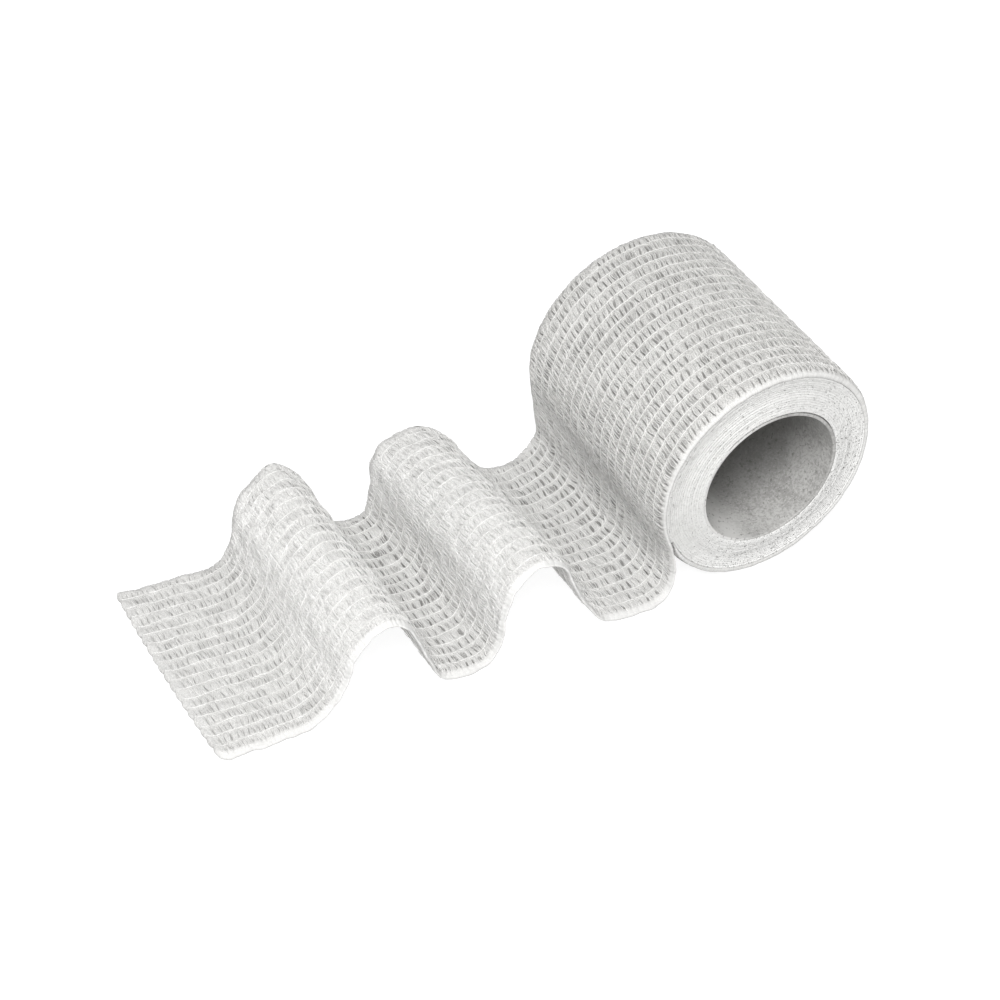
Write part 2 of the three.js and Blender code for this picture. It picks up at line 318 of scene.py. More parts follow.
    def build(self) -> bpy.types.Object:
        """Makes the piece.

        Returns:
            The smooth-shaded object, with its bake map, at the origin.
        """
        corners = np.concatenate([faces.ravel() for faces in self.faces])
        sizes = np.concatenate([np.full(len(faces), faces.shape[1]) for faces in self.faces])
        mesh = bpy.data.meshes.new(self.name)
        mesh.vertices.add(self.count)
        mesh.vertices.foreach_set("co", np.concatenate(self.points).astype(np.float32).ravel())
        mesh.loops.add(len(corners))
        mesh.loops.foreach_set("vertex_index", corners.astype(np.int32))
        mesh.polygons.add(len(sizes))
        starts = np.concatenate(([0], np.cumsum(sizes)[:-1]))
        mesh.polygons.foreach_set("loop_start", starts.astype(np.int32))
        mesh.polygons.foreach_set("use_smooth", np.ones(len(sizes), bool))
        layer = mesh.uv_layers.new(name=BAKE_MAP)
        places = np.concatenate([part.reshape(-1, 2) for part in self.places])
        layer.uv.foreach_set("vector", places.astype(np.float32).ravel())
        mesh.update(calc_edges=True)
        made = bpy.data.objects.new(self.name, mesh)
        bpy.context.scene.collection.objects.link(made)
        return made


def clear_selection() -> None:
    """Leaves nothing selected."""
    bpy.ops.object.select_all(action="DESELECT")


def keep_value(made: bpy.types.Object, name: str, values: np.ndarray) -> None:
    """Stores one number for each vertex under a name that a material can read."""
    attribute = made.data.attributes.new(name, "FLOAT", "POINT")
    attribute.data.foreach_set("value", values.astype(np.float32).ravel())


def keep_map(made: bpy.types.Object, name: str, places: np.ndarray) -> None:
    """Gives a mesh a UV map.

    Args:
        made: The object.
        name: The map's name.
        places: One place in the map for each vertex.
    """
    corners = np.zeros(len(made.data.loops), np.int32)
    made.data.loops.foreach_get("vertex_index", corners)
    layer = made.data.uv_layers.new(name=name)
    layer.uv.foreach_set("vector", places[corners].astype(np.float32).ravel())


def rim_of(numbers: np.ndarray) -> np.ndarray:
    """Numbers of a grid's border in order: first row, last column, last row, first column."""
    return np.concatenate((numbers[0, :], numbers[1:, -1], numbers[-1, -2::-1], numbers[-2:0:-1, 0]))


@dataclass
class StripRoute:
    """The smooth outer face of the strip's last turn and loose end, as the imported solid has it."""

    width: float = 0.050
    solid_thickness: float = 0.0012
    flat_spot: float = 0.005
    twist: float = 1.5
    cut_bow: float = 0.0005
    stations: int = 65
    steps_per_row: int = 24
    turn_steps: int = 720
    ripple_height: float = 0.000121
    ripple_seed: int = 5
    ripple_waves: tuple[tuple[float, float], ...] = (
        (0.0071, 0.013),
        (0.0113, 0.0083),
        (0.019, 0.021),
    )
    ripple_phases: float = 6.0
    ripple_free_band: Band = (0.002, 0.012)
    ripple_on_roll: float = 0.12
    ripple_near: float = 0.8
    ripple_growth: float = 0.7
    lead_in: tuple[int, ...] = (16, 8, 0)
    points: np.ndarray = field(init=False)
    normals: np.ndarray = field(init=False)
    along: np.ndarray = field(init=False)
    leaving: float = field(init=False)

    def __post_init__(self) -> None:
        """Works the face out once, as a grid of stations across the strip and steps along it."""
        across = np.linspace(0.0, 1.0, self.stations)[:, None]
        turn, turn_normals = self.turn_face(across)
        end, end_normals = self.end_face(across)
        self.points = np.concatenate((turn, end[:, 1:]), axis=1)
        self.normals = np.concatenate((turn_normals, end_normals[:, 1:]), axis=1)
        middle = self.points[self.stations // 2]
        steps = np.linalg.norm(np.diff(middle, axis=0), axis=1)
        self.along = np.concatenate(([0.0], np.cumsum(steps)))
        self.leaving = float(self.along[turn.shape[1] - 1])

    @property
    def length(self) -> float:
        """Length of the strip from the tucked place to the cut."""
        return float(self.along[-1])

    @property
    def axis_height(self) -> float:
        """Height of the roll's axis over the table."""
        radius = next(row.near_radius for row in LAST_TURN if row.at == "flat spot")
        return math.sqrt(radius**2 - (self.flat_spot / 2) ** 2)

    def turn_radius(self, across: np.ndarray, degrees: np.ndarray) -> np.ndarray:
        """Radius of the last turn's face.

        Args:
            across: Places across the strip, one column.
            degrees: Angles about the axis, one row for each place across.

        Returns:
            The radius at each place and angle.
        """
        twist = across**self.twist
        angles = [lerp(row.near_angle, row.far_angle, twist) for row in LAST_TURN]
        radii = [lerp(row.near_radius, row.far_radius, twist) for row in LAST_TURN]
        radius = radii[0] + 0.0 * degrees
        for low, high, start, stop in zip(angles, angles[1:], radii, radii[1:]):
            share = np.clip((degrees - low) / (high - low), 0.0, 1.0)
            radius = radius + (stop - start) * share * share * (3.0 - 2.0 * share)
        return radius

    def turn_face(self, across: np.ndarray) -> tuple[np.ndarray, np.ndarray]:
        """The last turn's face, from the tucked place to where it leaves the roll.

        Args:
            across: Places across the strip, one column.

        Returns:
            Its points and its unit normals.
        """
        twist = across**self.twist
        first = lerp(LAST_TURN[0].near_angle, LAST_TURN[0].far_angle, twist)
        last = lerp(LAST_TURN[-1].near_angle, LAST_TURN[-1].far_angle, twist)
        degrees = lerp(first, last, np.linspace(0.0, 1.0, self.turn_steps)[None, :])
        radius = self.turn_radius(across, degrees)
        turn = np.radians(degrees)
        x, z = radius * np.cos(turn), self.axis_height + radius * np.sin(turn)
        y = lerp(-self.width / 2, self.width / 2, across) + 0.0 * x
        normals = np.stack((np.cos(turn), 0.0 * turn, np.sin(turn)), -1)
        return np.stack((x, y, np.maximum(z, 0.0)), -1), normals

    def edge_knots(self, edge: Edge) -> np.ndarray:
        """Places that one edge's middle line passes.

        Args:
            edge: The strip's near or far edge.

        Returns:
            The places in x and z, of which the first few are on the roll, before the strip leaves it.
        """
        near = edge is Edge.NEAR
        last = LAST_TURN[-1]
        leaving = last.near_angle if near else last.far_angle
        knots = []
        for degrees in (leaving - back for back in self.lead_in):
            angles = np.array([[float(degrees)]])
            radius = float(self.turn_radius(np.array([[edge.value]]), angles)[0, 0])
            radius -= self.solid_thickness / 2
            turn = math.radians(degrees)
            knots.append((radius * math.cos(turn), self.axis_height + radius * math.sin(turn)))
        return np.array(knots + [row.near if near else row.far for row in LOOSE_END])

    def edge_line(self, edge: Edge) -> np.ndarray:
        """Smooth middle line of one edge, from where it leaves the roll to the cut.

        Args:
            edge: The strip's near or far edge.

        Returns:
            The line's points in x and z, a fixed count of steps for each row of the table.
        """
        knots = self.edge_knots(edge)
        knots = np.vstack((knots, 2 * knots[-1] - knots[-2]))
        shares = (np.arange(self.steps_per_row) / self.steps_per_row)[:, None]
        line = []
        for before, start, stop, after in zip(knots[1:], knots[2:], knots[3:], knots[4:]):
            pairs = ((before, start), (start, stop), (stop, after))
            spans = [math.sqrt(np.linalg.norm(b - a)) for a, b in pairs]
            slope_in = (start - before) / spans[0] - (stop - before) / (spans[0] + spans[1])
            slope_in = (slope_in + (stop - start) / spans[1]) * spans[1]
            slope_out = (stop - start) / spans[1] - (after - start) / (spans[1] + spans[2])
            slope_out = (slope_out + (after - stop) / spans[2]) * spans[1]
            square, cube = shares**2, shares**3
            part = (2 * cube - 3 * square + 1) * start + (cube - 2 * square + shares) * slope_in
            line.append(part + (3 * square - 2 * cube) * stop + (cube - square) * slope_out)
        line = np.vstack(line + [knots[-2]])
        line[:, 1] = np.maximum(line[:, 1], self.solid_thickness / 2)
        return line

    def end_face(self, across: np.ndarray) -> tuple[np.ndarray, np.ndarray]:
        """The loose end's face, from where it leaves the roll to the cut.

        Args:
            across: Places across the strip, one column.

        Returns:
            Its points and its unit normals.
        """
        near, far = self.edge_line(Edge.NEAR), self.edge_line(Edge.FAR)
        twist = across**self.twist
        middle = lerp(near[None], far[None], twist[..., None])
        step = np.arange(near.shape[0])
        last = step[-1]
        bow = self.cut_bow * (1 - (2 * across - 1) ** 2)
        middle[..., 0] -= bow * smoothstep(step, last - 2 * self.steps_per_row, last)[None]
        tangent = np.gradient(middle, axis=1)
        tangent /= np.linalg.norm(tangent, axis=-1, keepdims=True)
        normals = np.stack((tangent[..., 1], 0.0 * tangent[..., 0], -tangent[..., 0]), -1)
        rows = np.maximum(step / self.steps_per_row - 1, 0.0)
        row_numbers = np.arange(len(LOOSE_END))
        near_y = np.interp(rows, row_numbers, [row.near_y for row in LOOSE_END])
        far_y = np.interp(rows, row_numbers, [row.far_y for row in LOOSE_END])
        y = lerp(near_y[None], far_y[None], across)
        points = np.stack((middle[..., 0], y, middle[..., 1]), -1)
        return points + normals * self.solid_thickness / 2, normals

    def ripple(self, across: np.ndarray, along: np.ndarray) -> np.ndarray:
        """Height of the soft unevenness that the loose end has.

        Args:
            across: Places across the strip.
            along: Places along the strip, of the same shape.

        Returns:
            The height at each place.
        """
        random = np.random.default_rng(self.ripple_seed)
        height = 0.0 * along
        for wave_along, wave_across in self.ripple_waves:
            phase, slant = random.uniform(0, 2 * math.pi), random.uniform(-1, 1)
            turn = 2 * math.pi * (along / wave_along + slant * across * self.width / wave_across)
            other = 2 * math.pi * (across * self.width / wave_across)
            other = other + random.uniform(0, self.ripple_phases)
            height = height + np.sin(turn + phase) * np.cos(other)
        free = smoothstep(along - self.leaving, *self.ripple_free_band)
        height = self.ripple_height * height * lerp(self.ripple_on_roll, 1.0, free)
        return height * (self.ripple_near + self.ripple_growth * across**2)

    def sample(self, across: np.ndarray, along: np.ndarray) -> tuple[np.ndarray, np.ndarray]:
        """Points and normals of the smooth face.

        Args:
            across: Places across the strip, which may lie a little outside its edges.
            along: Places along the strip in metres, of the same shape.

        Returns:
            The points and the unit normals, each with x, y and z last.
        """
        step = np.interp(along, self.along, np.arange(len(self.along)))
        station = across * (self.stations - 1)
        low_step = np.clip(np.floor(step).astype(int), 0, len(self.along) - 2)
        low_station = np.clip(np.floor(station).astype(int), 0, self.stations - 2)
        step_share = (step - low_step)[..., None]
        station_share = (station - low_station)[..., None]

        def between(table: np.ndarray) -> np.ndarray:
            """Reads a table between its four nearest entries.

            Args:
                table: One vector for each station and step.

            Returns:
                The vectors at the asked places.
            """
            low, high = (
                lerp(table[row, low_step], table[row, low_step + 1], step_share)
                for row in (low_station, low_station + 1)
            )
            return lerp(low, high, station_share)

        normals = between(self.normals)
        normals = normals / np.linalg.norm(normals, axis=-1, keepdims=True)
        return between(self.points) + normals * self.ripple(across, along)[..., None], normals


@dataclass
class Weave:
    """The gauze's relief: crosswise yarn bundles and the slits between them, parted by elastic threads.

    A rung is one bundle with the slit before it, and a column is the cloth between two neighbouring
    threads. Grid rows follow the slits' outlines, so a few rows are enough for crisp slits. Shares of
    a rung or column are 0 at one side and 1 at the other.
    """

    route: StripRoute
    seed: int = 41
    rung_pitch: float = 0.00120
    rung_jitter: float = 0.08
    tail_crowding: float = 0.84
    tail_band: Band = (0.66, 0.88)
    thread_pitch: float = 0.002787
    first_thread: float = -0.0220
    thread_count: int = 17
    row_marks: tuple[float, ...] = (0.12, 0.36, 0.64, 0.88)
    column_marks: tuple[float, ...] = (0.0, 0.09, 0.2, 0.35, 0.5, 0.65, 0.8, 0.91)
    slit_width: tuple[float, float] = (0.11, 0.28)
    slit_wall: float = 0.06
    slit_foot: tuple[float, float] = (0.05, 0.36)
    slit_bluntness: float = 2.2
    slit_rounding: float = 0.75
    slit_depth: tuple[float, float] = (0.00020, 0.00056)
    slit_band: Band = (0.03, 0.27)
    least_depth: float = 0.25
    open_band: Band = (0.0, 0.3)
    least_pull: float = 0.3
    closed_share: float = 0.05
    own_share: float = 0.7
    patch_rungs: int = 6
    patch_columns: int = 3
    sunk_share: float = 0.12
    least_sunk: float = 0.5
    sunk_depth: float = 0.00022
    sunk_pit: float = 0.55
    spacing_jitter: float = 0.26
    spacing_window: int = 11
    least_spacing: float = 0.52
    most_jitter: float = 2.0
    calm_rungs: float = 6.0
    first_calm: float = 0.3
    last_calm: float = 0.5
    thread_band: Band = (0.0, 0.16)
    slant: float = 0.00019
    arch: float = 0.00016
    lean: tuple[float, float] = (0.60, 1.25)
    lean_depth: tuple[float, float] = (0.42, 1.0)
    bundle_crown: tuple[float, float] = (0.00002, 0.00012)
    crown_at_threads: float = 0.4
    fibre_height: float = 0.000026
    fibre_band: Band = (0.0, 0.3)
    flat_relief: float = 0.10
    rung_wander: float = 0.00008
    thread_wander: float = 0.00008
    edge_wander: float = 0.00016
    thread_waves: tuple[float, ...] = (0.0062, 0.0109, 0.0193)
    edge_waves: tuple[float, ...] = (0.0034, 0.0057, 0.0103)
    edge_scallop: tuple[float, float] = (0.00005, 0.00052)
    least_scallop: float = 0.2
    cut_margin: float = 0.0002
    cut_band: Band = (0.0009, 0.0024)
    cut_drop_band: Band = (0.0, 0.0012)
    selvedge_band: Band = (0.30, 0.62)
    selvedge_drop_band: Band = (0.0, 0.45)
    wound_selvedge_band: Band = (0.05, 0.24)
    wound_wander: float = 0.4
    selvedge_drop: float = 0.00034
    cut_scallop: float = 0.00035
    cut_scallop_reach: float = 0.004
    freed_band: Band = (-0.004, 0.010)
    flat_gape: Band = (0.10, 0.32)
    crest_gape: float = 0.34
    fall_band: Band = (0.02, 0.35)
    rise_gape: float = 0.68
    rise_band: Band = (0.55, 1.0)
    by_roll_band: Band = (-0.040, -0.033)
    low_band: Band = (0.002, 0.008)
    low_gape: tuple[tuple[float, float], ...] = (
        (-0.088, 0.72),
        (-0.076, 1.0),
        (-0.069, 1.2),
        (-0.0635, 1.2),
        (-0.058, 0.60),
        (-0.045, 1.05),
    )
    rung_places: np.ndarray = field(init=False)
    rungs: np.ndarray = field(init=False)
    columns: np.ndarray = field(init=False)
    across: np.ndarray = field(init=False)
    along: np.ndarray = field(init=False)
    gape: np.ndarray = field(init=False)
    pit: np.ndarray = field(init=False)
    relief: np.ndarray = field(init=False)
    sunk: np.ndarray = field(init=False)

    def __post_init__(self) -> None:
        """Works out the whole strip's weave once, so that its two stretches meet without a step."""
        random = np.random.default_rng(self.seed)
        usable = self.route.length - self.cut_margin
        count = round(usable / self.rung_pitch)
        at_tail = smoothstep(np.arange(count) / count, *self.tail_band)
        jitter = self.rung_jitter * self.jitter(random, count)
        steps = lerp(1.0, self.tail_crowding, at_tail) + jitter
        self.rung_places = np.concatenate(([0.0], np.cumsum(steps))) * usable / steps.sum()
        rungs = np.arange(count)[:, None] + np.array(self.row_marks)
        self.rungs = np.append(rungs.ravel(), float(count))
        columns = np.arange(self.column_count)[:, None] + np.array(self.column_marks)
        self.columns = np.append(columns.ravel(), float(self.column_count))
        openness = self.open_cells(random)
        lines = self.slit_lines(random)
        gape = self.gape_at(lines)
        lean = random.random((2, count + 1, self.column_count))
        self.gape = gape[np.round(self.rungs).astype(int)]
        self.along = self.row_lines(lines, openness[:, self.cells] * gape, lean[:, :, self.cells])
        self.across = self.column_lines(random)
        self.pit, self.relief, self.sunk = self.heights(random, openness, lean)

    @property
    def rows_per_rung(self) -> int:
        """Grid rows for each rung."""
        return len(self.row_marks)

    @property
    def column_count(self) -> int:
        """Number of columns, from selvedge to selvedge."""
        return self.thread_count + 1

    @property
    def leaving_row(self) -> int:
        """Grid row in the slit that is nearest to where the strip leaves the roll."""
        rung = int(np.argmin(np.abs(self.rung_places - self.route.leaving)))
        return rung * self.rows_per_rung

    @property
    def cells(self) -> np.ndarray:
        """The cell that each grid column is in."""
        return np.minimum(np.floor(self.columns).astype(int), self.column_count - 1)

    def jitter(self, random: np.random.Generator, shape: int | tuple[int, int]) -> np.ndarray:
        """Random numbers about 0, none of them far off."""
        return random.standard_normal(shape).clip(-self.most_jitter, self.most_jitter)

    def freed(self, along: np.ndarray) -> np.ndarray:
        """Share from 0 on the roll to 1 on the loose end."""
        return smoothstep(along - self.route.leaving, *self.freed_band)

    def loosened(self, rows: slice | np.ndarray) -> np.ndarray:
        """Share of the relief that stands out in some grid rows: none where the cloth is closed."""
        return smoothstep(self.gape[rows], *self.flat_gape)

    def gape_at(self, lines: np.ndarray) -> np.ndarray:
        """How far the cloth's pull lets its slits open.

        Args:
            lines: The slits' middle lines.

        Returns:
            About 1 on the roll, in the valleys and on slopes that face away from the tail, and less
            on crests and on slopes that face the tail.
        """
        route = self.route
        across = lines * 0.0 + (self.columns / self.column_count)[None, :]
        points, normals = route.sample(across, lines)
        turned = lerp(self.crest_gape, 1.0, smoothstep(normals[..., 0], *self.fall_band))
        rise = smoothstep(-normals[..., 0], *self.rise_band)
        turned = turned * lerp(1.0, self.rise_gape, rise)
        by_roll = smoothstep(points[..., 0], *self.by_roll_band) * rise
        turned = lerp(turned, 1.0, by_roll)
        places, shares = np.array(self.low_gape).T
        low = 1 - smoothstep(points[..., 2], *self.low_band)
        free = np.maximum(turned, low * np.interp(points[..., 0], places, shares))
        return lerp(1.0, free, self.freed(lines))

    def open_cells(self, random: np.random.Generator) -> np.ndarray:
        """Draws how far each slit stands open, part of it shared by patches of neighbours.

        Args:
            random: The weave's random source.

        Returns:
            The openness from 0 to 1, with rungs first and columns second.
        """
        count, size = len(self.rung_places), (self.patch_rungs, self.patch_columns)
        cells = random.random((count, self.column_count))
        patches = random.random((count // size[0] + 2, self.column_count // size[1] + 2))
        patches = np.kron(patches, np.ones(size))[:count, : self.column_count]
        openness = lerp(patches, cells, self.own_share)
        openness[random.random(openness.shape) < self.closed_share] = 0.0
        return openness

    def slit_lines(self, random: np.random.Generator) -> np.ndarray:
        """Lays the slits' middle lines.

        Args:
            random: The weave's random source.

        Returns:
            The place along the strip of each slit's middle line, at each grid column.
        """
        count = len(self.rung_places)
        at_threads = self.rung_wander * random.standard_normal((count, self.column_count + 1))
        at_threads[:2] *= self.first_calm
        at_threads[-2:] *= self.last_calm
        shape = (count, self.column_count)
        ends = np.minimum(np.arange(count), np.arange(count)[::-1])
        free = smoothstep(ends, 0.0, self.calm_rungs)[:, None]
        drift = np.cumsum(self.spacing_jitter * self.jitter(random, shape), axis=0)
        window = np.hanning(self.spacing_window)[1:-1]
        window = window / window.sum()
        reach = len(window) // 2
        padded = np.pad(drift, ((reach, reach), (0, 0)), "edge").T
        drift = drift - np.stack([np.convolve(part, window, "valid") for part in padded], 1)
        places = self.rung_places[:, None] + self.rung_pitch * free * drift
        least = self.least_spacing * self.rung_pitch
        for rung in range(1, count):
            places[rung] = np.maximum(places[rung], places[rung - 1] + least)
        slant = self.slant * free * self.jitter(random, shape)
        arch = self.arch * free * self.jitter(random, shape)
        share = self.columns - self.cells
        off_middle = 2 * share - 1
        inside = places[:, self.cells] + slant[:, self.cells] * off_middle
        inside = inside + arch[:, self.cells] * (1 - off_middle**2)
        threads = lerp(at_threads[:, self.cells], at_threads[:, self.cells + 1], share)
        away = smoothstep(share, *self.thread_band) * smoothstep(1 - share, *self.thread_band)
        return lerp(self.rung_places[:, None] + threads, inside, away)

    def row_lines(self, lines: np.ndarray, openness: np.ndarray, lean: np.ndarray) -> np.ndarray:
        """Place along the strip of each grid point.

        Args:
            lines: The slits' middle lines.
            openness: How far each slit stands open, on the same grid.
            lean: How wide each slit is after and before its middle line, from 0 to 1.

        Returns:
            The places, with four rows for each rung: the foot and brow of a slit's wall, and then the
            brow and foot of the next slit's.
        """
        share = self.columns - self.cells
        rounding = (1 - np.abs(2 * share - 1) ** self.slit_bluntness) ** self.slit_rounding
        width = lerp(*self.slit_width, openness) * rounding * lerp(*self.lean, lean)
        foot = np.clip(width - self.slit_wall, *self.slit_foot)
        brow = foot + 2 * self.slit_wall
        pitch = np.diff(lines, axis=0)
        after, before = lines[:-1], lines[1:]
        rows = (
            after + pitch * foot[0, :-1],
            after + pitch * brow[0, :-1],
            before - pitch * brow[1, 1:],
            before - pitch * foot[1, 1:],
        )
        rows = np.stack(rows, 1).reshape(-1, len(self.columns))
        rows = np.vstack((rows, lines[-1:]))
        to_cut = smoothstep(rows, self.route.length - self.cut_scallop_reach, self.route.length)
        rows = rows - self.cut_scallop * to_cut * (1 - np.sin(math.pi * share))
        return np.clip(rows, 0.0, self.route.length)

    def column_lines(self, random: np.random.Generator) -> np.ndarray:
        """Lays the grid's lines along the strip, where threads and edges wander a little.

        Args:
            random: The weave's random source.

        Returns:
            The place across the strip of each grid point, with rows first.
        """
        half = self.route.width / 2
        threads = self.first_thread + self.thread_pitch * np.arange(self.thread_count)
        lines = np.concatenate(([-half], threads, [half]))
        place = self.along.mean(axis=1)
        wandering = []
        for number, line in enumerate(lines):
            at_edge = number in (0, len(lines) - 1)
            reach = self.edge_wander if at_edge else self.thread_wander
            waves = self.edge_waves if at_edge else self.thread_waves
            phases = random.uniform(0, 2 * math.pi, len(waves))
            turns = (2 * math.pi * place / wave + phase for wave, phase in zip(waves, phases))
            shift = reach / 2 * sum(np.sin(turn) for turn in turns)
            if at_edge:
                shift = shift * lerp(self.wound_wander, 1.0, self.freed(place))
                bumps = random.uniform(self.least_scallop, 1.0, len(self.rung_places))
                bumps = bumps[np.round(self.rungs).astype(int)] * self.edge_scallop[int(line > 0)]
                shift = shift + np.sign(line) * bumps * (4 * to_whole(self.rungs) - 1)
            wandering.append(line + shift)
        numbers = np.arange(len(lines))
        y = np.stack([np.interp(self.columns, numbers, row) for row in np.stack(wandering, 1)])
        return y / self.route.width + 0.5

    def heights(
        self, random: np.random.Generator, openness: np.ndarray, lean: np.ndarray
    ) -> tuple[np.ndarray, np.ndarray, np.ndarray]:
        """Relief of the whole grid.

        Args:
            random: The weave's random source.
            openness: How far each slit stands open, from 0 to 1.
            lean: How wide each slit is after and before its middle line, from 0 to 1.

        Returns:
            How deep in a slit each grid point lies, from 0 to 1, its height over the smooth face, and
            how far its bundle has sunk.
        """
        rung = np.round(self.rungs).astype(int)
        in_rung = np.arange(len(self.rungs)) % self.rows_per_rung
        in_slit = np.array((1.0, 0.0, 0.0, 1.0))[in_rung][:, None]
        side = np.array((0, 0, 1, 1))[in_rung]
        deep = lerp(*self.lean_depth, 1 - lean[side, rung][:, self.cells])
        from_thread = to_whole(self.columns)[None, :]
        from_edge = np.minimum(self.columns, self.column_count - self.columns)[None, :]
        to_cut = self.route.length - self.along
        open_here = openness[rung][:, self.cells]
        relief = lerp(self.flat_relief, 1.0, self.loosened(slice(None)))
        wound_border = smoothstep(from_edge, *self.wound_selvedge_band)
        free_border = smoothstep(from_edge, *self.selvedge_band)
        whole = smoothstep(from_thread, *self.slit_band)
        whole = whole * lerp(wound_border, free_border, self.freed(self.along))
        whole = whole * smoothstep(to_cut, *self.cut_band)
        gaping = lerp(self.least_depth, 1.0, smoothstep(open_here, *self.open_band))
        gaping = gaping * np.minimum(lerp(self.least_pull, 1.0, self.gape), 1.0) * relief
        shape = (len(self.rung_places), self.column_count)
        bundle = np.minimum(np.floor(self.rungs).astype(int), shape[0] - 1)
        sunk = random.random(shape) < self.sunk_share
        sunk = sunk * random.uniform(self.least_sunk, 1.0, shape)
        sunk = sunk[bundle][:, self.cells] * whole * self.gape
        pit = np.maximum(in_slit * deep * whole * gaping, self.sunk_pit * sunk)
        depth = lerp(*self.slit_depth, open_here)
        crowns = random.uniform(*self.bundle_crown, shape)
        rounded = lerp(self.crown_at_threads, 1.0, np.sin(math.pi * from_thread))
        crown = crowns[bundle][:, self.cells] * (1 - in_slit) * rounded * relief
        fibres = self.fibre_height * random.standard_normal(pit.shape)
        fibres = fibres * smoothstep(from_edge, *self.fibre_band)
        drop = (1 - smoothstep(from_edge, *self.selvedge_drop_band)) ** 2
        drop = drop + (1 - smoothstep(to_cut, *self.cut_drop_band)) ** 2
        sunk = self.sunk_depth * sunk * (1 - in_slit)
        height = crown - depth * in_slit * pit - sunk + fibres
        return pit, height - self.selvedge_drop * np.minimum(drop, 1.0), sunk


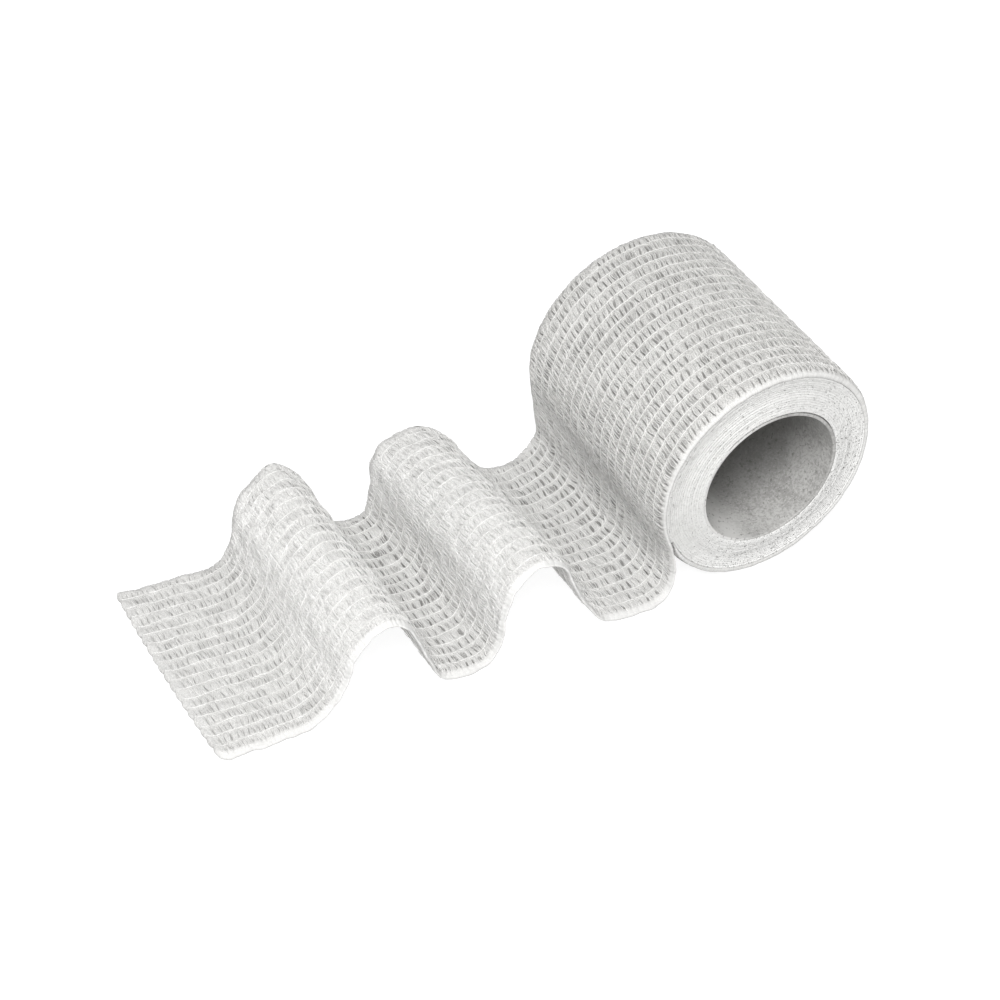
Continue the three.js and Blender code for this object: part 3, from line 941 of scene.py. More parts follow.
@dataclass
class StripPiece:
    """One stretch of the strip as a closed sheet: a woven face, a plainer underside and round edges."""

    name: str
    weave: Weave
    first_row: int
    last_row: int
    under_last_turn: tuple[float, float] = (0.02250, 0.02297)
    wound_thickness: tuple[float, float] = (0.00042, 0.0018)
    end_thickness: float = 0.0008
    thinning_band: Band = (-0.001, 0.004)
    under_relief: float = 0.15
    edge_bulge: float = 0.00020
    edge_rings: tuple[tuple[float, float], ...] = ((0.18, 0.75), (0.5, 1.0), (0.85, 0.88))
    table_gap: float = 0.00002
    settling: float = 0.0004
    settling_band: Band = (0.0006, 0.0016)
    # Lightness of the painted shade in the most gaping slits
    least_slit_lightness: float = 0.12
    wound_band: Band = (-0.002, 0.012)
    face_patch: Patch = Patch(MAP_START, 0.40, MAP_STOP, 0.997)
    under_patch: Patch = Patch(MAP_START, 0.09, MAP_STOP, 0.385)
    edge_lanes: tuple[float, float] = (0.005, 0.075)

    def rows(self) -> slice:
        """Grid rows of this stretch."""
        return slice(self.first_row, self.last_row + 1)

    def rungs(self) -> range:
        """Rungs of this stretch."""
        first, last = (row // self.weave.rows_per_rung for row in (self.first_row, self.last_row))
        return range(first, last)

    def thickness(self, smooth: np.ndarray, along: np.ndarray) -> np.ndarray:
        """Thickness of the sheet, which on the roll fills what the turns below leave.

        Args:
            smooth: Points of the smooth face.
            along: Their places along the strip.

        Returns:
            The thickness at each point.
        """
        route = self.weave.route
        radius = np.hypot(smooth[..., 0], smooth[..., 2] - route.axis_height)
        below = lerp(*self.under_last_turn, np.clip(along / route.leaving, 0.0, 1.0))
        on_roll = np.clip(radius - below, *self.wound_thickness)
        return lerp(on_roll, self.end_thickness, smoothstep(along - route.leaving, *self.thinning_band))

    def settled(self, points: np.ndarray) -> np.ndarray:
        """Lets the underside down onto the table where it nearly touches it.

        Args:
            points: The underside's points.

        Returns:
            The points, none of them under the table.
        """
        height = points[..., 2]
        lowered = height - self.settling * (1 - smoothstep(height, *self.settling_band))
        return np.concatenate((points[..., :2], np.maximum(lowered, self.table_gap)[..., None]), -1)

    def faces_of_sheet(self) -> tuple[np.ndarray, np.ndarray, np.ndarray]:
        """Works out both faces of the sheet.

        Returns:
            Points of the woven face, points of the underside, and normals, all on the fine grid.
        """
        weave = self.weave
        across, along = weave.across[self.rows()], weave.along[self.rows()]
        smooth, normals = weave.route.sample(across, along)
        relief = weave.relief[self.rows()]
        outer = smooth + normals * relief[..., None]
        outer[..., 2] = np.maximum(outer[..., 2], self.table_gap)
        depth = self.thickness(smooth, along) + self.under_relief * relief
        return outer, self.settled(smooth - normals * depth[..., None]), normals

    def build(self) -> bpy.types.Object:
        """Makes the closed sheet.

        Returns:
            The sheet, with its weave map, slit depth and slit lightness stored on it; the slit
            lightness sets the painted shade in its slits.
        """
        outer, under, normals = self.faces_of_sheet()
        in_rung = np.arange(self.first_row, self.last_row + 1) % self.weave.rows_per_rung
        kept_rows = np.flatnonzero((in_rung == 0) | (in_rung == 2))
        kept_columns = np.arange(0, outer.shape[1], len(self.weave.column_marks) // 2)
        kept = np.ix_(kept_rows, kept_columns)
        shell = ClosedMesh(self.name)
        fine = shell.add_points(outer)
        fine_rim = rim_of(fine)
        loops = [fine_rim]
        for ring in self.edge_loops(outer, under, normals, fine_rim):
            loops.append(shell.add_points(ring))
        coarse = shell.add_points(under[kept])
        shell.add_grid(fine, self.face_patch)
        shell.add_grid(coarse, self.under_patch, turned=True)
        lanes = np.linspace(*self.edge_lanes, len(loops) + 1)
        lanes = [Patch(MAP_START, low, MAP_STOP, high) for low, high in zip(lanes, lanes[1:])]
        for inner, outwards, lane in zip(loops, loops[1:], lanes):
            shell.add_band(inner, outwards, lane)
        places = {int(number): place for place, number in enumerate(fine_rim)}
        pairs = zip(rim_of(fine[kept]), rim_of(coarse))
        joined = {places[int(number)]: int(vertex) for number, vertex in pairs}
        shell.add_stitches(loops[-1], joined, lanes[-1])
        made = shell.build()
        self.store_values(made, outer, fine_rim, len(loops) - 1, kept)
        return made

    def edge_loops(
        self, outer: np.ndarray, under: np.ndarray, normals: np.ndarray, rim: np.ndarray
    ) -> list[np.ndarray]:
        """Closed loops that round the sheet's border off.

        Args:
            outer: The woven face's points.
            under: The underside's points.
            normals: The face's normals.
            rim: The grid's border, as numbers of the flattened grid.

        Returns:
            The points of each loop, from the face to the underside.
        """
        top, bottom = outer.reshape(-1, 3)[rim], under.reshape(-1, 3)[rim]
        run = np.roll(top, -1, axis=0) - np.roll(top, 1, axis=0)
        outward = np.cross(run, normals.reshape(-1, 3)[rim])
        outward /= np.linalg.norm(outward, axis=1, keepdims=True)
        loops = []
        for share, bulge in self.edge_rings:
            loop = lerp(top, bottom, share) + outward * self.edge_bulge * bulge
            loop[:, 2] = np.maximum(loop[:, 2], self.table_gap)
            loops.append(loop)
        return loops

    def store_values(
        self,
        made: bpy.types.Object,
        outer: np.ndarray,
        rim: np.ndarray,
        loops: int,
        kept: tuple[np.ndarray, ...],
    ) -> None:
        """Stores each vertex's place in the cloth, slit depth, how light the painted shade in its slits
        is and if it is wound.

        Args:
            made: The sheet.
            outer: The woven face's points.
            rim: The fine grid's border, as numbers of the flattened grid.
            loops: How many loops round the border off.
            kept: The rows and columns of the fine grid that the underside has.
        """
        weave = self.weave
        across, along = weave.across[self.rows()] * weave.route.width, weave.along[self.rows()]
        cloth = np.stack((along, across), -1)
        pit = weave.pit[self.rows()]
        wound = 1 - smoothstep(along - weave.route.leaving, *self.wound_band)
        # How light the painted shade in the slits is: darkest where they gape, lighter where the cloth
        # is closed
        backing = lerp(self.least_slit_lightness, 1.0, 1 - weave.gape[self.rows()])
        for name, values in (("cloth", cloth), ("pit", pit), ("backing", backing), ("wound", wound)):
            flat = values.reshape(outer.shape[0] * outer.shape[1], -1)
            edge = flat[rim] * float(name != "pit")
            under = values[kept].reshape(-1, flat.shape[1])
            whole = np.concatenate([flat] + [edge] * loops + [under])
            if name == "cloth":
                keep_map(made, name, whole / weave.route.length)
            else:
                keep_value(made, name, whole)


@dataclass
class ElasticThreads:
    """The elastic threads that run along one stretch of the strip, on one of its faces."""

    name: str
    piece: StripPiece
    side: Side
    radius: float = 0.000054
    rise: float = 0.00008
    bob: float = 0.00004
    closed_sink: float = 0.00011
    sides: int = 5
    row_step: int = 2
    seed: int = 7

    def build(self) -> bpy.types.Object:
        """Makes all the threads.

        Returns:
            One mesh of closed tubes.
        """
        outer, under, normals = self.piece.faces_of_sheet()
        marks = len(self.piece.weave.column_marks)
        rows = np.arange(0, outer.shape[0], self.row_step)
        grid = np.ix_(rows, np.arange(marks, outer.shape[1] - 1, marks))
        random = np.random.default_rng(self.seed)
        surface = outer if self.side is Side.OUTER else under
        facing = normals[grid] * self.side.value
        bobbing = self.bob * random.standard_normal(facing.shape[:2])[..., None]
        loosened = self.piece.weave.loosened(self.piece.rows())[grid]
        sunk = self.closed_sink * (1 - loosened)[..., None]
        centres = surface[grid] + facing * (self.rise + bobbing - sunk)
        centres[..., 2] = np.maximum(centres[..., 2], self.piece.table_gap + self.radius)
        shell = ClosedMesh(self.name)
        centres, facing = centres.transpose(1, 0, 2), facing.transpose(1, 0, 2)
        shell.add_tubes(centres, facing, self.radius, self.sides)
        return shell.build()


@dataclass
class CrossYarns:
    """The crimped yarns across one stretch of the strip, two to a bundle, parted at each thread."""

    name: str
    piece: StripPiece
    radius: tuple[float, float] = (0.00006, 0.000095)
    marks: tuple[int, ...] = (0, 2, 4, 6)
    at_thread: float = 0.00006
    parting: tuple[float, float] = (0.55, 1.25)
    lift: tuple[float, float] = (0.00004, 0.00017)
    tuck: float = 0.00001
    stray: float = 0.00006
    closed_lift: float = -0.35
    closed_sink: float = 0.00007
    over_sunk: float = 0.8
    edge_dive: float = 0.00022
    edge_band: Band = (0.15, 0.75)
    end_thinness: float = 0.85
    sides: int = 4
    ends_kept: int = 2
    seed: int = 17

    def build(self) -> bpy.types.Object:
        """Makes all the yarns.

        Returns:
            One mesh of closed tubes.
        """
        weave, random = self.piece.weave, np.random.default_rng(self.seed)
        last = len(weave.rung_places) - 1 - self.ends_kept
        rungs = np.array([rung for rung in self.piece.rungs() if rung < last])
        starts = np.arange(weave.column_count)[:, None] * len(weave.column_marks)
        picked = (starts + np.array(self.marks)).ravel()[1:]
        share = weave.columns[picked] - np.floor(weave.columns[picked])
        cell = np.floor(weave.columns[picked]).astype(int)
        low_row, high_row = rungs * weave.rows_per_rung + 1, rungs * weave.rows_per_rung + 2
        low, high = weave.along[low_row][:, picked], weave.along[high_row][:, picked]
        across = (weave.across[low_row][:, picked] + weave.across[high_row][:, picked]) / 2
        height = (weave.relief[low_row][:, picked] + weave.relief[high_row][:, picked]) / 2
        height = height + self.over_sunk * weave.sunk[low_row][:, picked]
        columns = weave.columns[picked]
        from_edge = np.minimum(columns, weave.column_count - columns)
        height = height - self.edge_dive * (1 - smoothstep(from_edge, *self.edge_band))
        arch = np.sin(math.pi * share)
        freed = weave.loosened(low_row)[:, picked]
        shell = ClosedMesh(self.name)
        centres, facing, radius = [], [], []
        for side in (-1, 1):
            parting = random.uniform(*self.parting, (len(rungs), weave.column_count))[:, cell]
            lift = random.uniform(*self.lift, (len(rungs), weave.column_count))[:, cell]
            lift = lift * lerp(self.closed_lift, 1.0, freed)
            apart = self.at_thread + arch * parting * (high - low) / 2
            along = (low + high) / 2 + side * apart + self.stray * random.standard_normal(low.shape)
            smooth, normals = weave.route.sample(across, along)
            rise = height + lift * arch - self.tuck * (1 - arch)
            rise = rise - self.closed_sink * (1 - freed)
            centres.append(smooth + normals * rise[..., None])
            facing.append(normals)
            drawn = random.uniform(*self.radius, low.shape)
            radius.append(drawn * lerp(self.end_thinness, 1.0, arch))
        centres = np.concatenate(centres)
        centres[..., 2] = np.maximum(centres[..., 2], self.piece.table_gap + self.radius[1])
        shell.add_tubes(centres, np.concatenate(facing), np.concatenate(radius), self.sides)
        return shell.build()


@dataclass
class WoundTurns:
    """The turns under the last one: one strip in a flat spiral, whose edges are the roll's ends."""

    route: StripRoute
    name: str = "wound_turns"
    inner_radius: float = 0.01534
    outer_radius: float = 0.02295
    turn_pitch: float = 0.00047
    step_degrees: float = 1.0
    corner_recess: float = 0.000003
    grain: float = 0.000018
    pock_share: float = 0.012
    pock_depth: float = 0.00030
    sway: float = 0.000018
    sway_waves: tuple[float, ...] = (2.1, 5.67, 11.13)
    crown: float = 0.00122
    crown_band: Band = (0.0153, 0.0205)
    proud_turn: tuple[float, float, float] = (0.0184, 0.0004, 0.00011)
    lap: tuple[float, float] = (0.00030, 0.00066)
    lap_angle: float = -50.0
    lap_band: Band = (-0.3, 0.7)
    rim: float = 0.00019
    rim_band: Band = (0.0218, 0.0227)
    shares: tuple[float, ...] = (0.0, 0.32, 0.68, 1.0)
    map_bottom: float = 0.005
    map_height: float = 0.99
    lane_height: float = 0.95
    seed: int = 23

    def build(self) -> bpy.types.Object:
        """Makes the spiral strip as one closed mesh, and stores each point's turn on it.

        Returns:
            The finished object.
        """
        turns = (self.outer_radius - self.inner_radius) / self.turn_pitch - 1
        steps = round(turns * FULL_TURN / self.step_degrees)
        wound = np.linspace(0.0, turns, steps + 1)
        degrees = LAST_TURN[0].near_angle - FULL_TURN * (turns - wound)
        inner = self.inner_radius + self.turn_pitch * wound
        towards = np.cos(np.radians(degrees - self.lap_angle))
        lap = lerp(*self.lap, smoothstep(towards, *self.lap_band)) * np.exp(-wound)
        random = np.random.default_rng(self.seed)
        radius, y = [], []
        for end in (-1, 1):
            near = end < 0
            by_turn = random.standard_normal(int(turns) + 3) * self.sway
            phases = random.uniform(0, 2 * math.pi, len(self.sway_waves))
            a_turn = round(FULL_TURN / self.step_degrees)
            seam_grain = random.standard_normal(len(wound) + a_turn)
            for share in self.shares[::end]:
                at_seam = share in (0.0, 1.0)
                out = inner + share * self.turn_pitch
                turn = wound + share
                waves = (np.sin(wave * turn + phase) for wave, phase in zip(self.sway_waves, phases))
                swell = np.interp(turn, np.arange(len(by_turn)), by_turn) + self.sway * sum(waves) / 2
                if near:
                    swell = swell + self.crown * (1 - smoothstep(out, *self.crown_band))
                middle, spread, height = self.proud_turn
                ring = height * np.exp(-(((out - middle) / spread) ** 2))
                ring = ring + self.rim * smoothstep(out, *self.rim_band)
                rough = random.standard_normal(wound.shape)
                if at_seam:
                    rough = seam_grain[int(share) * a_turn :][: len(wound)]
                pocks = self.pock_depth * (random.random(wound.shape) < self.pock_share)
                recess = self.corner_recess if at_seam else 0.0
                radius.append(out - lap * (share < 0.5) * near)
                relief = ring - recess + self.grain * rough - pocks + swell
                y.append(end * (self.route.width / 2 + relief))
        radius, y, turned = np.stack(radius, 1), np.stack(y, 1), np.radians(degrees)[:, None]
        z = self.route.axis_height + radius * np.sin(turned)
        points = np.stack((radius * np.cos(turned), y, z), -1)
        shell = ClosedMesh(self.name)
        numbers = shell.add_points(points)
        count = numbers.shape[1]
        for side in range(count):
            pair = np.stack((numbers[:, side], numbers[:, (side + 1) % count]), 1)
            low = self.map_bottom + self.map_height * side / count
            lane = Patch(MAP_START, low, MAP_STOP, low + self.lane_height / count)
            shell.add_grid(pair, lane, turned=True)
        shell.add_faces(numbers[:1], np.array((MAP_START, self.map_bottom)))
        shell.add_faces(numbers[-1:, ::-1], np.array((MAP_STOP, self.map_bottom)))
        made = shell.build()
        keep_value(made, "wound", np.repeat(wound, count))
        LOG.info("%s: %.1f turns, %d steps", self.name, turns, len(wound))
        return made


@dataclass
class CoreTube:
    """The thin grey tube that the strip is wound on."""

    route: StripRoute
    name: str = "core_tube"
    outer_radius: float = 0.0153
    wall: float = 0.0007
    proud: float = 0.0011
    outer_round: float = 0.00012
    inner_chamfer: float = 0.00026
    segments: int = 128
    rings: int = 12
    end_slack: float = 1e-6
    radius_slack: float = 1e-5
    smooth_degrees: float = 40.0

    def pick_rims(self, radius: float) -> None:
        """Selects the edges of the two rims at one radius, and ends in edit mode.

        Args:
            radius: The rims' radius.
        """
        bpy.ops.mesh.select_all(action="DESELECT")
        bpy.ops.object.mode_set(mode="OBJECT")
        mesh = bpy.context.object.data
        ends = (-self.route.width / 2 - self.proud, self.route.width / 2)
        for edge in mesh.edges:
            points = [mesh.vertices[number].co for number in edge.vertices]
            at_end = any(all(abs(point.y - end) < self.end_slack for point in points) for end in ends)
            reach = [math.hypot(point.x, point.z - self.route.axis_height) for point in points]
            edge.select = at_end and all(abs(value - radius) < self.radius_slack for value in reach)
        bpy.ops.object.mode_set(mode="EDIT")

    def build(self) -> bpy.types.Object:
        """Makes the tube: an open cylinder, bisected into rings, given its wall, its rims bevelled.

        Returns:
            The finished object.
        """
        length = self.route.width + self.proud
        middle = -self.route.width / 2 - self.proud + length / 2
        clear_selection()
        bpy.ops.mesh.primitive_cylinder_add(
            vertices=self.segments,
            radius=self.outer_radius,
            depth=length,
            end_fill_type="NOTHING",
            location=(0.0, middle, self.route.axis_height),
            rotation=(math.pi / 2, 0.0, 0.0),
        )
        made = bpy.context.object
        made.name = made.data.name = self.name
        bpy.ops.object.transform_apply(location=True, rotation=True, scale=True)
        bpy.ops.object.mode_set(mode="EDIT")
        for ring in range(1, self.rings):
            bpy.ops.mesh.select_all(action="SELECT")
            y = middle - length / 2 + length * ring / self.rings
            bpy.ops.mesh.bisect(plane_co=(0.0, y, 0.0), plane_no=(0.0, 1.0, 0.0))
        bpy.ops.mesh.select_all(action="SELECT")
        bpy.ops.mesh.normals_make_consistent(inside=False)
        bpy.ops.object.mode_set(mode="OBJECT")
        wall = made.modifiers.new("wall", "SOLIDIFY")
        wall.thickness, wall.offset = self.wall, -1.0
        bpy.ops.object.modifier_apply(modifier="wall")
        bpy.ops.object.mode_set(mode="EDIT")
        bpy.ops.mesh.select_mode(type="EDGE")
        bpy.ops.mesh.select_all(action="SELECT")
        bpy.ops.mesh.normals_make_consistent(inside=False)
        self.pick_rims(self.outer_radius - self.wall)
        bpy.ops.mesh.bevel(offset=self.inner_chamfer, segments=3, profile=0.5)
        self.pick_rims(self.outer_radius)
        bpy.ops.mesh.bevel(offset=self.outer_round, segments=2, profile=0.5)
        bpy.ops.object.mode_set(mode="OBJECT")
        bpy.ops.object.shade_smooth_by_angle(angle=math.radians(self.smooth_degrees))
        clear_selection()
        return made


class NodeTree:
    """A short way to add and join the nodes of one material."""

    def __init__(self, name: str) -> None:
        """Starts a material whose only node is its principled shader.

        Args:
            name: The material's name.
        """
        self.material = bpy.data.materials.new(name)
        self.material.use_nodes = True
        self.nodes = self.material.node_tree.nodes
        self.links = self.material.node_tree.links
        self.shader = self.nodes["Principled BSDF"]

    def put(self, socket: bpy.types.NodeSocket, value: Given | None) -> None:
        """Feeds a socket.

        Args:
            socket: The socket.
            value: Another socket to link it to, a plain value to set, or None to leave it.
        """
        if isinstance(value, bpy.types.NodeSocket):
            self.links.new(value, socket)
        elif value is not None:
            socket.default_value = value

    def math(self, operation: str, *values: Given) -> bpy.types.NodeSocket:
        """Adds a Math node.

        Args:
            operation: Its operation.
            values: The numbers that it takes.

        Returns:
            The result.
        """
        node = self.nodes.new("ShaderNodeMath")
        node.operation = operation
        for socket, value in zip(node.inputs, values):
            self.put(socket, value)
        return node.outputs[0]

    def ramp(self, value: Given, *change: Given, kind: str = "LINEAR") -> bpy.types.NodeSocket:
        """Adds a clamped change of a number.

        Args:
            value: The number.
            change: Where the change starts and ends, and its result there if that isn't 0 and 1.
            kind: How the result runs in between.

        Returns:
            The result.
        """
        node = self.nodes.new("ShaderNodeMapRange")
        node.interpolation_type = kind
        names = ("Value", "From Min", "From Max", "To Min", "To Max")
        for name, given in zip(names, (value, *change)):
            self.put(node.inputs[name], given)
        return node.outputs["Result"]

    def step(self, value: Given, *change: Given) -> bpy.types.NodeSocket:
        """Clamped change of a number as ramp makes it, but smooth at both ends."""
        return self.ramp(value, *change, kind="SMOOTHSTEP")

    def scaled(self, vector: Given, factors: tuple[float, float, float]) -> bpy.types.NodeSocket:
        """Stretches a vector.

        Args:
            vector: The vector.
            factors: What each of its parts is multiplied with.

        Returns:
            The result.
        """
        node = self.nodes.new("ShaderNodeVectorMath")
        node.operation = "MULTIPLY"
        self.put(node.inputs[0], vector)
        node.inputs[1].default_value = factors
        return node.outputs[0]

    def noise(
        self, vector: Given, scale: float, detail: float = 2.0, roughness: float = 0.5
    ) -> bpy.types.NodeSocket:
        """Adds a Noise Texture.

        Args:
            vector: Where it is read.
            scale: Its lumps per unit of length.
            detail: Its number of finer layers.
            roughness: How strong the finer layers are.

        Returns:
            The value, about 0.5 in the middle.
        """
        node = self.nodes.new("ShaderNodeTexNoise")
        self.put(node.inputs["Vector"], vector)
        for name, value in (("Scale", scale), ("Detail", detail), ("Roughness", roughness)):
            node.inputs[name].default_value = value
        return node.outputs["Fac"]

    def blend(self, share: Given, first: Given, second: Given) -> bpy.types.NodeSocket:
        """Mixes two colours.

        Args:
            share: The second colour's share.
            first: The first colour.
            second: The second colour.

        Returns:
            The mixed colour.
        """
        node = self.nodes.new("ShaderNodeMix")
        node.data_type = "RGBA"
        colours = [socket for socket in node.inputs if socket.type == "RGBA"]
        self.put(node.inputs[0], share)
        self.put(colours[0], first)
        self.put(colours[1], second)
        return next(socket for socket in node.outputs if socket.type == "RGBA")

    def map(self, name: str) -> bpy.types.NodeSocket:
        """Reads one of the piece's own UV maps.

        Args:
            name: The map's name.

        Returns:
            Each point's place on the map.
        """
        node = self.nodes.new("ShaderNodeUVMap")
        node.uv_map = name
        return node.outputs["UV"]

    def value(self, name: str) -> bpy.types.NodeSocket:
        """Reads a number stored on the mesh.

        Args:
            name: The attribute's name.

        Returns:
            Each point's number.
        """
        node = self.nodes.new("ShaderNodeAttribute")
        node.attribute_name = name
        return node.outputs["Fac"]

    def place(self) -> bpy.types.NodeSocket:
        """Places in the piece's own space, in metres."""
        return self.nodes.new("ShaderNodeTexCoord").outputs["Object"]

    def parts(self, vector: Given) -> tuple[bpy.types.NodeSocket, ...]:
        """Splits a vector.

        Args:
            vector: The vector.

        Returns:
            Its three parts.
        """
        node = self.nodes.new("ShaderNodeSeparateXYZ")
        self.put(node.inputs[0], vector)
        return tuple(node.outputs)

    def numbers(self, value: Given) -> bpy.types.NodeSocket:
        """Makes a vector whose three parts are one number.

        Args:
            value: The number.

        Returns:
            The vector.
        """
        node = self.nodes.new("ShaderNodeCombineXYZ")
        for socket in node.inputs:
            self.put(socket, value)
        return node.outputs[0]

    def bump(self, height: Given, distance: float, strength: float) -> bpy.types.NodeSocket:
        """Adds a Bump node.

        Args:
            height: The surface's height, from 0 to 1.
            distance: How high 1 is, in metres.
            strength: How much of it shows.

        Returns:
            The surface's normal.
        """
        node = self.nodes.new("ShaderNodeBump")
        node.inputs["Distance"].default_value = distance
        node.inputs["Strength"].default_value = strength
        self.put(node.inputs["Height"], height)
        return node.outputs["Normal"]

    def dress(
        self, colour: Given, normal: Given | None, roughness: Given, specular: float | None = None
    ) -> bpy.types.Material:
        """Feeds the shader.

        Args:
            colour: The base colour.
            normal: The surface's normal, or None for the mesh's own.
            roughness: The roughness.
            specular: The specular level, or None for the usual one.

        Returns:
            The finished material.
        """
        self.put(self.shader.inputs["Base Color"], colour)
        self.put(self.shader.inputs["Normal"], normal)
        self.put(self.shader.inputs["Roughness"], roughness)
        self.put(self.shader.inputs["Specular IOR Level"], specular)
        return self.material


@dataclass(frozen=True)
class GauzeFinish:
    """Matt off-white crimped yarn, with painted shade in the slits between its bundles and painted
    shade low down near the table.
    """

    route: StripRoute
    yarn: Colour = (0.665, 0.661, 0.650, 1.0)
    shaded_yarn: Colour = (0.475, 0.471, 0.461, 1.0)
    closed_yarn: Colour = (0.748, 0.744, 0.733, 1.0)
    shaded_closed_yarn: Colour = (0.585, 0.581, 0.571, 1.0)
    closed: Band = (0.64, 0.84)
    wound_yarn: Colour = (0.605, 0.600, 0.587, 1.0)
    shaded_wound_yarn: Colour = (0.340, 0.336, 0.325, 1.0)
    # Painted shade in the slits: a deep one where they gape, a faint one where the cloth is closed
    deep_slit_shade: Colour = (0.190, 0.188, 0.181, 1.0)
    faint_slit_shade: Colour = (0.430, 0.426, 0.416, 1.0)
    roughness: float = 0.93
    border_yarn: Colour = (0.600, 0.597, 0.587, 1.0)
    wound_border_yarn: Colour = (0.590, 0.587, 0.577, 1.0)
    border: Band = (0.3, 1.4)
    wound_border: Band = (0.0, 1.0)
    border_shade: tuple[float, float] = (0.6, 0.4)
    border_relief: tuple[float, float] = (0.7, 0.3)
    # Painted shade near the table: the heights over which it fades in, then its share along x
    painted_shade_height: Band = (0.014, 0.003)
    painted_shade_along: Change = (-0.086, -0.072, 0.26, 0.46)
    fibre_stretch: tuple[float, float, float] = (5.0, 2.3, 1.0)
    fibre_noise: tuple[float, ...] = (1.0, 3.0, 0.65)
    mottle_noise: tuple[float, ...] = (4.2, 3.0, 0.6)
    cloud_noise: tuple[float, ...] = (0.13, 2.0)
    grain_noise: tuple[float, ...] = (2.1, 2.0, 0.6)
    streaks: Change = (0.60, 0.36, 0.0, 0.75)
    mottling: Change = (0.56, 0.36, 0.0, 0.45)
    clouding: Change = (0.3, 0.7, -0.12, 0.18)
    patching: Change = (0.35, 0.65, 0.30, -0.30)
    open_patching: float = 0.35
    raggedness: Change = (0.3, 0.7, -0.30, 0.30)
    slit: Band = (0.15, 0.8)
    grain_relief: tuple[float, float] = (3.0, 0.6)
    relief: tuple[float, float] = (0.00012, 0.9)
    specular: float = 0.25

    def material(self) -> bpy.types.Material:
        """Builds the material, which reads the strip's cloth map, slit depth and how light the painted
        shade in the slits is.

        Returns:
            The finished material.
        """
        tree = NodeTree("gauze")
        size = self.route.length / MILLIMETRE
        cloth = tree.scaled(tree.map("cloth"), (size, size, 0.0))
        fibres = tree.noise(tree.scaled(cloth, self.fibre_stretch), *self.fibre_noise)
        mottle = tree.noise(cloth, *self.mottle_noise)
        cloud = tree.noise(cloth, *self.cloud_noise)
        grain = tree.noise(cloth, *self.grain_noise)
        across = tree.parts(cloth)[1]
        from_edge = tree.math("PINGPONG", across, self.route.width / MILLIMETRE / 2)
        wound = tree.value("wound")
        closed = tree.step(tree.value("backing"), *self.closed)
        borders = tree.step(from_edge, *self.border), tree.step(from_edge, *self.wound_border)
        inside = tree.ramp(wound, 0.0, 1.0, *borders)
        # How dark the yarn is: random streaks, mottle, clouds and patches, plus painted shade low down
        # near the table
        shade = tree.math("ADD", tree.step(fibres, *self.streaks), tree.step(mottle, *self.mottling))
        shade = tree.math("ADD", shade, tree.ramp(cloud, *self.clouding))
        patchy = tree.math("ADD", closed, self.open_patching)
        shade = tree.math("MULTIPLY_ADD", tree.ramp(grain, *self.patching), patchy, shade)
        # Painted shade: darker near the table, more from the middle valley towards the roll than on the
        # tail
        along, _, height = tree.parts(tree.place())
        low = tree.step(height, *self.painted_shade_height)
        shade = tree.math("MULTIPLY_ADD", low, tree.step(along, *self.painted_shade_along), shade)
        shade = tree.math("MULTIPLY", shade, tree.math("MULTIPLY_ADD", inside, *self.border_shade))
        # Its colour, and the painted shade in the slits, darkest where they gape: on the roll, in the
        # valleys and on slopes facing away from the tail
        at_border = tree.blend(wound, self.border_yarn, self.wound_border_yarn)
        light = tree.blend(wound, tree.blend(closed, self.yarn, self.closed_yarn), self.wound_yarn)
        light = tree.blend(inside, at_border, light)
        dull = tree.blend(closed, self.shaded_yarn, self.shaded_closed_yarn)
        dull = tree.blend(wound, dull, self.shaded_wound_yarn)
        colour = tree.blend(tree.math("MAXIMUM", shade, 0.0), light, dull)
        ragged = tree.math("ADD", tree.value("pit"), tree.ramp(mottle, *self.raggedness))
        # Painted shade in the slits, deep where they gape and faint where the cloth is closed
        behind = tree.blend(tree.value("backing"), self.deep_slit_shade, self.faint_slit_shade)
        colour = tree.blend(tree.step(ragged, *self.slit), colour, behind)
        # Its relief
        grainy = tree.math("MULTIPLY_ADD", closed, *self.grain_relief)
        lumps = tree.math("MULTIPLY", grain, grainy)
        lumps = tree.math("ADD", tree.math("ADD", fibres, mottle), lumps)
        lumps = tree.math("MULTIPLY", lumps, tree.math("MULTIPLY_ADD", inside, *self.border_relief))
        return tree.dress(colour, tree.bump(lumps, *self.relief), self.roughness, self.specular)


@dataclass(frozen=True)
class StrandFinish:
    """Yarn or elastic thread that stands out of the cloth, with patches where it is duller."""

    name: str
    light: Colour
    dull: Colour
    roughness: float
    patch_scale: float = 420.0
    patch_detail: tuple[float, float] = (3.0, 0.6)
    patching: Change = (0.42, 0.62, 0.0, 0.75)
    grain_noise: tuple[float, ...] = (5200.0, 2.0)
    graining: Change = (0.45, 0.65, 0.0, 0.3)
    relief: tuple[float, float] = (0.00004, 0.7)
    specular: float = 0.3

    def material(self) -> bpy.types.Material:
        """Builds the material, which reads the piece's own space.

        Returns:
            The finished material.
        """
        tree = NodeTree(self.name)
        place = tree.place()
        patches = tree.noise(place, self.patch_scale, *self.patch_detail)
        grain = tree.noise(place, *self.grain_noise)
        share = tree.math("ADD", tree.step(patches, *self.patching), tree.step(grain, *self.graining))
        colour = tree.blend(share, self.light, self.dull)
        return tree.dress(colour, tree.bump(grain, *self.relief), self.roughness, self.specular)


YARN_FINISH = StrandFinish(
    "crimped_yarn", (0.70, 0.696, 0.684, 1.0), (0.52, 0.516, 0.505, 1.0), 0.9, 900.0
)
WOUND_YARN_FINISH = StrandFinish(
    "wound_yarn", (0.70, 0.695, 0.681, 1.0), (0.44, 0.436, 0.425, 1.0), 0.9, 900.0
)
THREAD_FINISH = StrandFinish(
    "elastic_thread", (0.80, 0.796, 0.784, 1.0), (0.62, 0.616, 0.604, 1.0), 0.7
)


